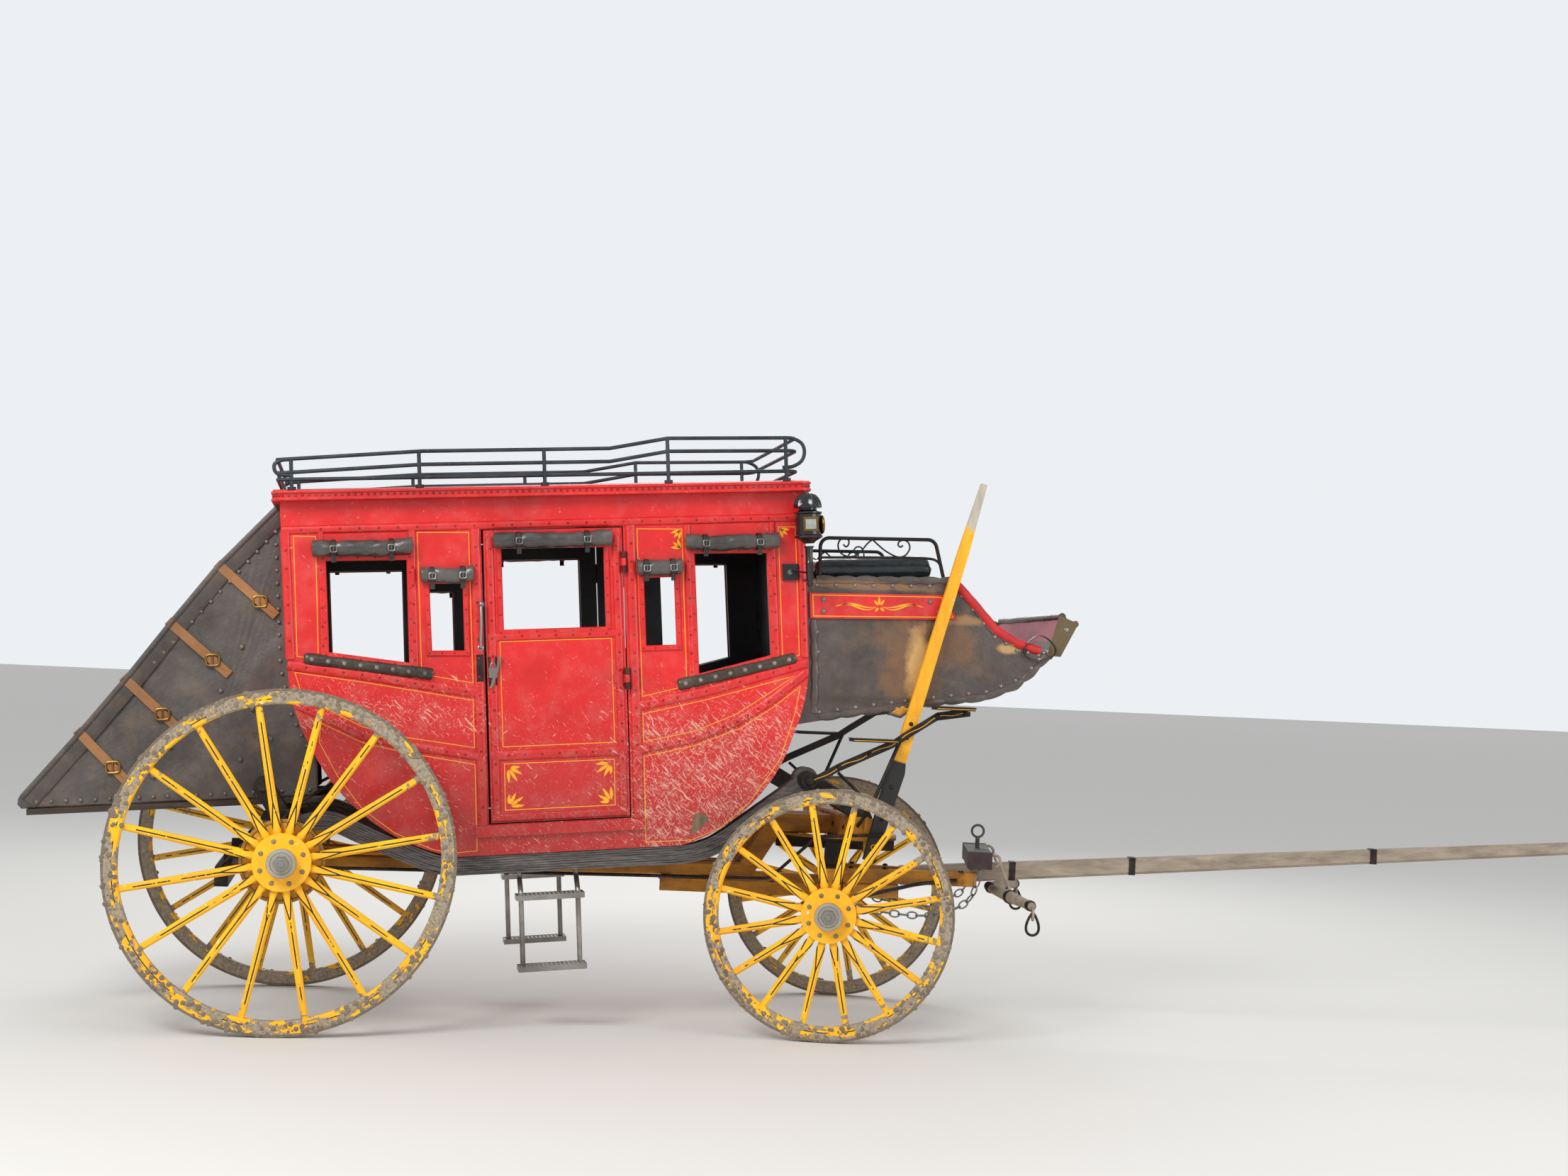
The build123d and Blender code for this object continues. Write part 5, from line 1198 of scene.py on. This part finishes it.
# Running gear under the coach: ash timbers painted orange-yellow years ago, now brown with rust and road dirt, clipped
# to the axles with iron bands and bolts; the fore-carriage turns on the kingpin under the transom.
gear_paint = finish("running_gear_paint", "#CB8A1C", "#8A5A22", "#4E3E30", (0.15, 1.3), 0.85, ("#3A2A20", 0.5),
                    (0.5, 0.8), stretch=(0.8, 3, 3), bump=0.3)
paint(gear_paint, "rear_bolster", "perches", "front_transom", "axle_bed", "hounds")
paint(strip_paint, "door_sills")
KINGPIN = 107
CARRIAGE_TURN = math.radians(-13.9)
TURN_COS, TURN_SIN = math.cos(CARRIAGE_TURN), math.sin(CARRIAGE_TURN)
TRANSOM = 2710


def on_carriage(x, y, z):
    """The fore-carriage's own millimetres to row metres: x = 107 + x cos t - y sin t and y = x sin t + y cos t, with
    t = -13.9 degrees about the kingpin, which stands at 107."""
    x, y, z = spread(x, y, z)
    return np.stack([KINGPIN + x * TURN_COS - y * TURN_SIN, x * TURN_SIN + y * TURN_COS, z], -1) / 1000


def on_ground(x, y, z):
    """The level frame's millimetres, counted from the rear axle, to row metres."""
    x, y, z = spread(x, y, z)
    return np.stack([x - REAR_AXLE, y, z], -1) / 1000


ACROSS_CARRIAGE, AHEAD_CARRIAGE = direction(on_carriage, 0, 1, 0), direction(on_carriage, 1, 0, 0)


def clip(place, line, y, out, half):
    """A thin iron band bent round a timber: a closed line (x, z) at y, this wide each way."""
    return sweep(laid(along(line, 40, True), y, place), out, oblong(-2.5, -half, 2.5, half), True)


def rod(route, side, place, radius):
    """A bent iron rod on one side of the coach."""
    x, y, z = rounded(route, 60).T
    return sweep(place(x, side * y, z), (0, 0, 1), oval(radius, sides=10))


bands, bolts = [], []
for y in (-540, -420, 420, 540):
    bands.append(clip(on_ground, oblong(-53, 742, 53, 923), y, (0, 1, 0), 17))
    bolts.append(domes(on_ground([-55, 55], y, 835), [(-1, 0, 0), (1, 0, 0)], 11, 7, 6))
for y in (-420, -180, 180, 420):
    bolts.append(domes(on_ground([TRANSOM - 56, TRANSOM + 56], y, 985), [(-1, 0, 0), (1, 0, 0)], 13, 8))
piece("bolster_clips", bands, black_iron)
piece("frame_bolts", bolts, black_iron)
bands = [clip(on_carriage, oblong(-52, 557, 52, 795), y, ACROSS_CARRIAGE, 16) for y in (-520, -400, 400, 520)]
bolts, braces, stays = [], [], []
STAYS = (
    ((-60, 585, 880), (30, 560, 1010), (150, 470, 1085), (310, 380, 1180)),
    ((-280, 560, 725), (-120, 540, 900), (0, 520, 985), (90, 470, 1005)),
    ((2660, 545, 1050), (2540, 560, 1115), (2440, 560, 1190), (2425, 560, 1215)),
    ((2755, 560, 1040), (2700, 575, 1150), (2575, 600, 1255)),
)
for side in (-1, 1):
    for x, y in ((90, 150), (260, 112), (640, 104)):
        bolts.append(domes(on_carriage(x, side * y * 0.98, 768), (0, 0, 1), 14, 9))
    for t in (0.2, 0.5, 0.8):
        bolts.append(domes(on_carriage(-850 + 1100 * t, side * (330 - 95 * t), 690), (0, 0, 1), 11, 7))
    braces.append(rod(((50, 560, 640), (180, 420, 660), (420, 140, 700), (620, 110, 726)), side, on_carriage, 10))
    stays += [rod(route, side, on_ground, 8) for route in STAYS]
piece("carriage_clips", bands, black_iron, "fore_carriage")
piece("carriage_bolts", bolts, black_iron, "fore_carriage")
piece("carriage_braces", braces, black_iron, "fore_carriage")
piece("body_stays", stays, black_iron)


# Wheels. Sixteen ash spokes stand in a flanged iron nave and an ash rim of felloes inside a steel tyre. The yellow
# paint is lined with black on each spoke, forked near the nave, and the rims are caked with dried mud over orange.
SPOKES = 16


def wheel_paint(name, centre, flat, out, radius, mud_and_shade, kind):
    """Paint read in the wheel's own plane: a = (P - C) . flat, b = height, r = sqrt(a^2 + b^2). A line runs where the
    sideways distance from the nearest spoke's middle, r times the angle to it, equals a fork that closes with r."""
    # The far-side wheels get more of this mud so that they come out darker: partly mud and partly painted shade.
    dirty = 0.1 + 0.5 * max(0.0, mud_and_shade - 0.4)
    base = finish(name, "#FFC206", "#F2AA06", "#8C7B66", (0.0, 2.2), dirty, ("#F1EBDC", 0.75), (0.34, 0.6), bump=0.25,
                  coat=0.1)
    tree, shader, here = parts_of(base)

    def m(operation, *values):
        return calc(tree, operation, *values)

    local = vector(tree, "SUBTRACT", here, centre)
    a, b, q = [vector(tree, "DOT_PRODUCT", local, way) for way in (flat, (0, 0, 1), out)]
    r = m("SQRT", m("ADD", m("MULTIPLY", a, a), m("MULTIPLY", b, b)))
    around = m("MULTIPLY_ADD", m("ARCTAN2", b, a), SPOKES / (2 * math.pi), -0.5)
    off = m("ABSOLUTE", m("SUBTRACT", around, m("ROUND", around)))
    if kind == "spokes":
        lateral = m("MULTIPLY", m("MULTIPLY", off, r), 2 * math.pi / SPOKES)
        fork = m("MULTIPLY", m("MAXIMUM", m("SUBTRACT", 0.27, r), 0.0), 0.16)
        gap = m("ABSOLUTE", m("SUBTRACT", lateral, fork))
        line = m("LESS_THAN", gap, m("MULTIPLY_ADD", noise(tree, here, 24.0, 5.0), 0.0018, 0.0021))
        gone = noise(tree, here, 9.0, 6.0, 0.7)
        line = m("MULTIPLY", line, m("LESS_THAN", m("MULTIPLY_ADD", r, 0.12, gone), 0.62))
        near = m("MULTIPLY", m("GREATER_THAN", r, 0.15), m("LESS_THAN", r, radius - 0.13))
        hoop = m("LESS_THAN", m("ABSOLUTE", m("SUBTRACT", r, radius - 0.045)), 0.0026)
        hoop = m("MULTIPLY", hoop, m("LESS_THAN", gone, 0.52))
        lay_over(tree, m("MAXIMUM", m("MULTIPLY", line, near), hoop), "#1D1A18")
    ring_place = {0: m("DIVIDE", a, r), 1: m("DIVIDE", b, r), 2: m("MULTIPLY", r, 2.4 / radius)}
    cake = noise(tree, node(tree, "CombineXYZ", ring_place).outputs[0], 10.0 * radius, 6.0, 0.6)
    grit = noise(tree, here, 70.0, 8.0, 0.75)
    rim = m("ADD", ramp(tree, r, radius - 0.18, radius - 0.075, -1.1 + mud_and_shade, 0.5),
            ramp(tree, r, radius - 0.072, radius - 0.014, high=0.5))
    side_weight = m("DIVIDE", m("MULTIPLY_ADD", a, 0.045, m("MULTIPLY", b, 0.035)), r)
    cake = m("ADD", cake, m("MULTIPLY", side_weight, 1.0 - mud_and_shade))
    mud = ramp(tree, m("MULTIPLY_ADD", rim, 0.13 + 0.15 * mud_and_shade, cake), 0.60, 0.615)
    lay_over(tree, mud, mix(tree, ramp(tree, grit, 0.35, 0.65), "#7C6E5C", "#B5A791"))
    inside = m("MULTIPLY", ramp(tree, q, -0.027, -0.031), m("GREATER_THAN", r, 0.174))
    lay_over(tree, m("MULTIPLY", inside, 1.0 if kind == "hub" else 0.0), "#2B2623")
    height = m("MULTIPLY", mud, m("MULTIPLY_ADD", grit, 0.8, 0.4))
    bump = node(tree, "Bump", {"Strength": 0.8, "Distance": 0.006, "Height": height}).outputs[0]
    fill(tree, shader, {"Normal": bump, "Roughness": ramp(tree, mud, 0.0, 1.0, 0.42, 0.95)})
    return base


hub_steel = finish("hub_ring_steel", "#B9B5A8", "#918C80", "#8A7A62", (0.1, 1.5), 0.25, rough=(0.25, 0.45), metal=0.6)
HUB_COLLAR = ((0, 74), (65.5, 74), (66.8, 78), (66.8, 88), (64, 94.5), (50, 96.5), (47, 93.5), (0, 93.5))
HUB_NUT = ((0, 93), (36, 93), (36, 115), (33, 118.5), (18, 118.5), (16, 123.5), (0, 124))
TRACK_HALF = 0.7875
CLODS, CLOD_SIZES = 420, 6
# columns: name, radius, whether it turns with the fore-carriage, side, how muddy; the far-side wheels' heavier
# mud darkens them and is partly painted shade
WHEELS = (
    ("rear_right", 0.775, False, -1, 0.35),
    ("rear_left", 0.775, False, 1, 0.9),
    ("front_right", 0.592, True, -1, 0.3),
    ("front_left", 0.592, True, 1, 0.9),
)


def on_face(wheel, r, t, depth):
    """Points of a wheel's face at a radius and an angle, this far out from its middle plane, in metres."""
    centre, flat, out = wheel
    return centre + r * (np.cos(t)[:, None] * flat + np.sin(t)[:, None] * (0, 0, 1)) + depth * out


for number, (name, radius, steered, side, mud_and_shade) in enumerate(WHEELS):
    c, s = (TURN_COS, TURN_SIN) if steered else (1, 0)
    flat, out = (c, s, 0), (-side * s, side * c, 0)
    centre = ((KINGPIN if steered else -REAR_AXLE) / 1000 + TRACK_HALF * out[0], TRACK_HALF * out[1], radius)
    body = f"{name}_wheel"
    paint(wheel_paint(f"{name}_spoke_paint", centre, flat, out, radius, mud_and_shade, "spokes"), f"{name}_spokes")
    paint(wheel_paint(f"{name}_hub_paint", centre, flat, out, radius, mud_and_shade * 0.3, "hub"), f"{name}_hub")
    tyre_steel = finish(f"{name}_tyre_steel", "#6A5F53", "#857763", "#9B8B75", (0.0, 3.0), 0.85, ("#B98A3A", 0.3),
                        (0.6, 0.9), metal=0.35, grain=22, bump=0.8)
    paint(tyre_steel, f"{name}_tyre")
    wheel = np.array((centre, flat, out))
    bolts = domes(on_face(wheel, 0.1, turns(8) + math.pi / 8, 0.035), out, 11, 8, 12)
    piece(f"{name}_hub_bolts", [bolts], worn_steel, body)
    piece(f"{name}_hub_ring", [lathe(HUB_COLLAR, centre, out, 48)], hub_steel, body)
    piece(f"{name}_hub_nut", [lathe(HUB_NUT, centre, out, 6)], worn_steel, body, 20)
    picks = np.random.RandomState(40 + number)
    t = picks.uniform(0, 2 * math.pi, CLODS)
    r = radius - 0.004 - 0.064 * picks.uniform(0, 1, (CLODS, 1)) ** 1.8
    clods = [domes(on_face(wheel, r[k::CLOD_SIZES], t[k::CLOD_SIZES], 0.0248), out, size, 3.5, 6)
             for k, size in enumerate(picks.uniform(4, 13, CLOD_SIZES))]
    mud = finish(f"{name}_mud_clods", "#8D7F6C", "#6C5F50", dirty=0.3, rough=(0.9, 1.0), grain=60, bump=0.9)
    piece(f"{name}_mud", clods, mud, body, 70)


# Brake lever. A long ash bar painted yellow and chipped, bare grey wood at the hand grip, with a black iron plate on
# its lower end and six bolts.
lever_wood = finish("lever_paint", "#F6B20C", "#E39A0A", "#8C7B66", (0.6, 2.2), 0.2, ("#CFC3AA", 0.75), (0.45, 0.7),
                    stretch=(6, 6, 0.7), grain=9, bump=0.35)
LEVER_LEAN = math.radians(15.2)
LEVER_UP = (math.sin(LEVER_LEAN), 0, math.cos(LEVER_LEAN))
LEVER_PIVOT = (0.159, -0.593, 0.905)
tree, shader, here = parts_of(lever_wood)
height = vector(tree, "DOT_PRODUCT", vector(tree, "SUBTRACT", here, LEVER_PIVOT), LEVER_UP)
cloud = noise(tree, node(tree, "Mapping", {0: here, 3: (14, 14, 3)}).outputs[0], 3.0, 6.0)
bare = ramp(tree, calc(tree, "MULTIPLY_ADD", cloud, 0.16, height), 1.70, 1.72)
lay_over(tree, bare, mix(tree, cloud, "#8F8673", "#CFC7B4"))
lay_over(tree, ramp(tree, height, 0.435, 0.425), "#1B1918")
paint(lever_wood, "brake_lever")
spots = np.array(LEVER_PIVOT) - (0, 0.012, 0) + np.outer((-0.04, 0.0, 0.14, 0.30, 0.55, 0.62), LEVER_UP)
piece("lever_bolts", [domes(spots, (0, -1, 0), 11, 8, 10)], black_iron, "brake_lever")


# Step irons and their treads: black forged bars, on the right side with a painted yellow line, with domed bolts, and
# treads covered with rows of small studs inside a thin raised lip.
STEP_ROUTE = ((2430, 1200), (2573, 1282), (2842, 1408), (2900, 1448), (3050, 1545), (3215, 1572))
STEP_BOLTS = ((2430, 1200), (2573, 1282), (2720, 1351), (2868, 1424), (3050, 1545), (3190, 1568))
STEP_FACE = 624
# columns: first and last x of the tread, its height
STEP_TREADS = ((2618, 2835, 1424), (3022, 3212, 1592))
for side, side_name in BODY_SIDES:
    out = (0, side, 0)
    x, z = along(rounded(STEP_ROUTE, 50).tolist(), 16).T
    lines = [sweep(on_ground(x, side * (STEP_FACE + 0.3), z + 5 * np.sin(x / 24)), out, STRIPE)]
    bolts = [heads(STEP_BOLTS, side, STEP_FACE, 13, 9, 12, on_ground)]
    studs = []
    for x0, x1, z in STEP_TREADS:
        X, Y = np.meshgrid(np.linspace(x0 + 14, x1 - 14, 11), np.linspace(636, 712, 4))
        studs.append(domes(on_ground(X.ravel(), side * Y.ravel(), z), (0, 0, 1), 5.5, 5, 6))
        lines.append(sweep(laid(along(((x0, z - 7), (x1, z - 7))), side * 724.4, on_ground), out, STRIPE * 0.8))
        x, y = along(((x0, 618), (x0, 722), (x1, 722), (x1, 618)), 40).T
        bolts.append(sweep(on_ground(x, side * y, z), (0, 0, 1), oval(4, sides=8)))
    line_look = line_paint if side < 0 else black_iron
    piece(f"step_iron_lines_{side_name}", lines, line_look, "coach")
    piece(f"step_iron_bolts_{side_name}", bolts, black_iron)
    piece(f"step_tread_studs_{side_name}", studs, worn_steel, "coach")

# Hanging steps: bent steel tube with two pressed treads, whose raised dots and turned-down lips are worn bright. The
# dots are rows of small domes, and each lip is a flat strip bent round its tread.
paint(worn_steel, "side_steps")
for side, side_name in BODY_SIDES:
    dots, lips = [], []
    for w in (311, 643):
        X, Y = np.meshgrid(np.linspace(1008, 1292, 15), np.linspace(470, 560, 5))
        dots.append(domes(on_body(X.ravel(), side * Y.ravel(), w), (-0.08, 0, 1), 6, 3.5, 6))
        u, y = along(oblong(992, 458, 1308, 572), 30, True).T
        lips.append(sweep(on_body(u, side * y, w - 12), (-0.08, 0, 1), oblong(-1.5, -11, 1.5, 14), True))
    piece(f"hanging_tread_dots_{side_name}", dots, worn_steel, "coach")
    piece(f"hanging_tread_lips_{side_name}", lips, worn_steel, "coach")


# Pole, evener and singletrees: weathered ash with traces of yellow paint, dark oak and iron at the evener, and turned
# ash singletrees with iron ends; a galvanised chain hangs on each side of the fore-carriage.
pole_wood = finish("pole_wood", "#A39686", "#7C7062", "#B58A35", (0.2, 2.4), 0.3, ("#5C5145", 0.45), (0.65, 0.9),
                   stretch=(0.35, 9, 9), grain=11, bump=0.6)
paint(pole_wood, "pole", "singletrees")
evener_oak = finish("evener_oak", "#4A4644", "#2E2B2A", "#7B6A58", (0.2, 1.4), 0.5, ("#7A3E22", 0.5), (0.55, 0.8),
                    stretch=(4, 0.5, 4), grain=10, bump=0.5)
paint(evener_oak, "evener")
CHAIN_ROUTE = ((722, 330, 800), (690, 300, 640), (520, 290, 560), (330, 300, 560), (120, 330, 590), (40, 360, 612))


def chain(points, wire=4, long=0.026, wide=0.016):
    """Links of bent wire along a line, each turned a quarter on the last: middle + l cos t ahead + s sin t across."""
    reach = passed(points)[-1]
    count = int(reach / (2 * long - 2.4 * wire / 1000))
    middles = evenly(points, (np.arange(count) + 0.5) * reach / count)
    heading = unit(np.gradient(middles, axis=0))
    across = unit(np.cross(heading, [0.1, 0.2, 1.0]))
    ways = (np.cross(heading, across), across)
    t = turns(14)[:, None]
    return [sweep(middles[k] + long * np.cos(t) * heading[k] + wide * np.sin(t) * ways[k % 2][k], ways[1 - k % 2][k],
                  oval(wire, sides=6), True) for k in range(count)]


galvanised = finish("galvanised_steel", "#8D9092", "#6B6C6C", "#6B5B49", (0.2, 1.2), 0.5, rough=(0.35, 0.6), metal=0.8)
end_iron = finish("evener_end_iron", "#453438", "#2C2224", "#7B6A58", (0.2, 1.4), 0.4, rough=(0.5, 0.8), metal=0.4)
links, fittings, caps, bands = [], [], [], []
# the singletree's two ends, and a collar's place along it with its radius
start, end = np.array([790.0, 45, 690]), np.array([962.0, 610, 662])
COLLARS = ((0.02, 23), (0.5, 33), (0.965, 24.5))
POLE_RISE = math.tan(math.radians(5))
for side in (-1, 1):
    x, y, z = rounded(CHAIN_ROUTE, 80, 12).T
    links += chain(on_carriage(x, side * y, z))
    mirror = (1, side, 1)
    for share, radius in COLLARS:
        collar = ((0, -16), (radius, -16), (radius + 2, -9.6), (radius + 2, 9.6), (radius, 16), (0, 16))
        spot = on_carriage(*((start + (end - start) * share) * mirror))
        fittings.append(lathe(collar, spot, direction(on_carriage, *(unit(end - start) * mirror)), 24))
    t = turns(24)
    ring = on_carriage(968 + 27 * np.sin(t) * (1.05 - 0.45 * np.cos(t)), side * 622, 578 + 52 * np.cos(t))
    fittings.append(sweep(ring, ACROSS_CARRIAGE, oval(6.5, sides=10), True))
    x, y = along(oblong(664, 300, 780, 344), 30, True).T
    caps.append(sweep(on_carriage(x, side * y, 845), (0, 0, 1), oblong(-2, -41, 2, 41), True))
for x in (900, 1500, 2700):
    middle = 770 + (x - 800) * POLE_RISE
    half = 48 - (x - 330) * (17 / 3350)
    y, z = along(oblong(-half, middle - half, half, middle + half), 25, True).T
    bands.append(sweep(on_carriage(x, y, z), AHEAD_CARRIAGE, oblong(-1.5, -16, 1.5, 16), True))
piece("safety_chains", links, galvanised, "fore_carriage", sharp=60)
piece("singletree_fittings", fittings, black_iron, "fore_carriage")
piece("evener_end_bands", caps, end_iron, "fore_carriage")
piece("pole_bands", bands, black_iron, "fore_carriage")
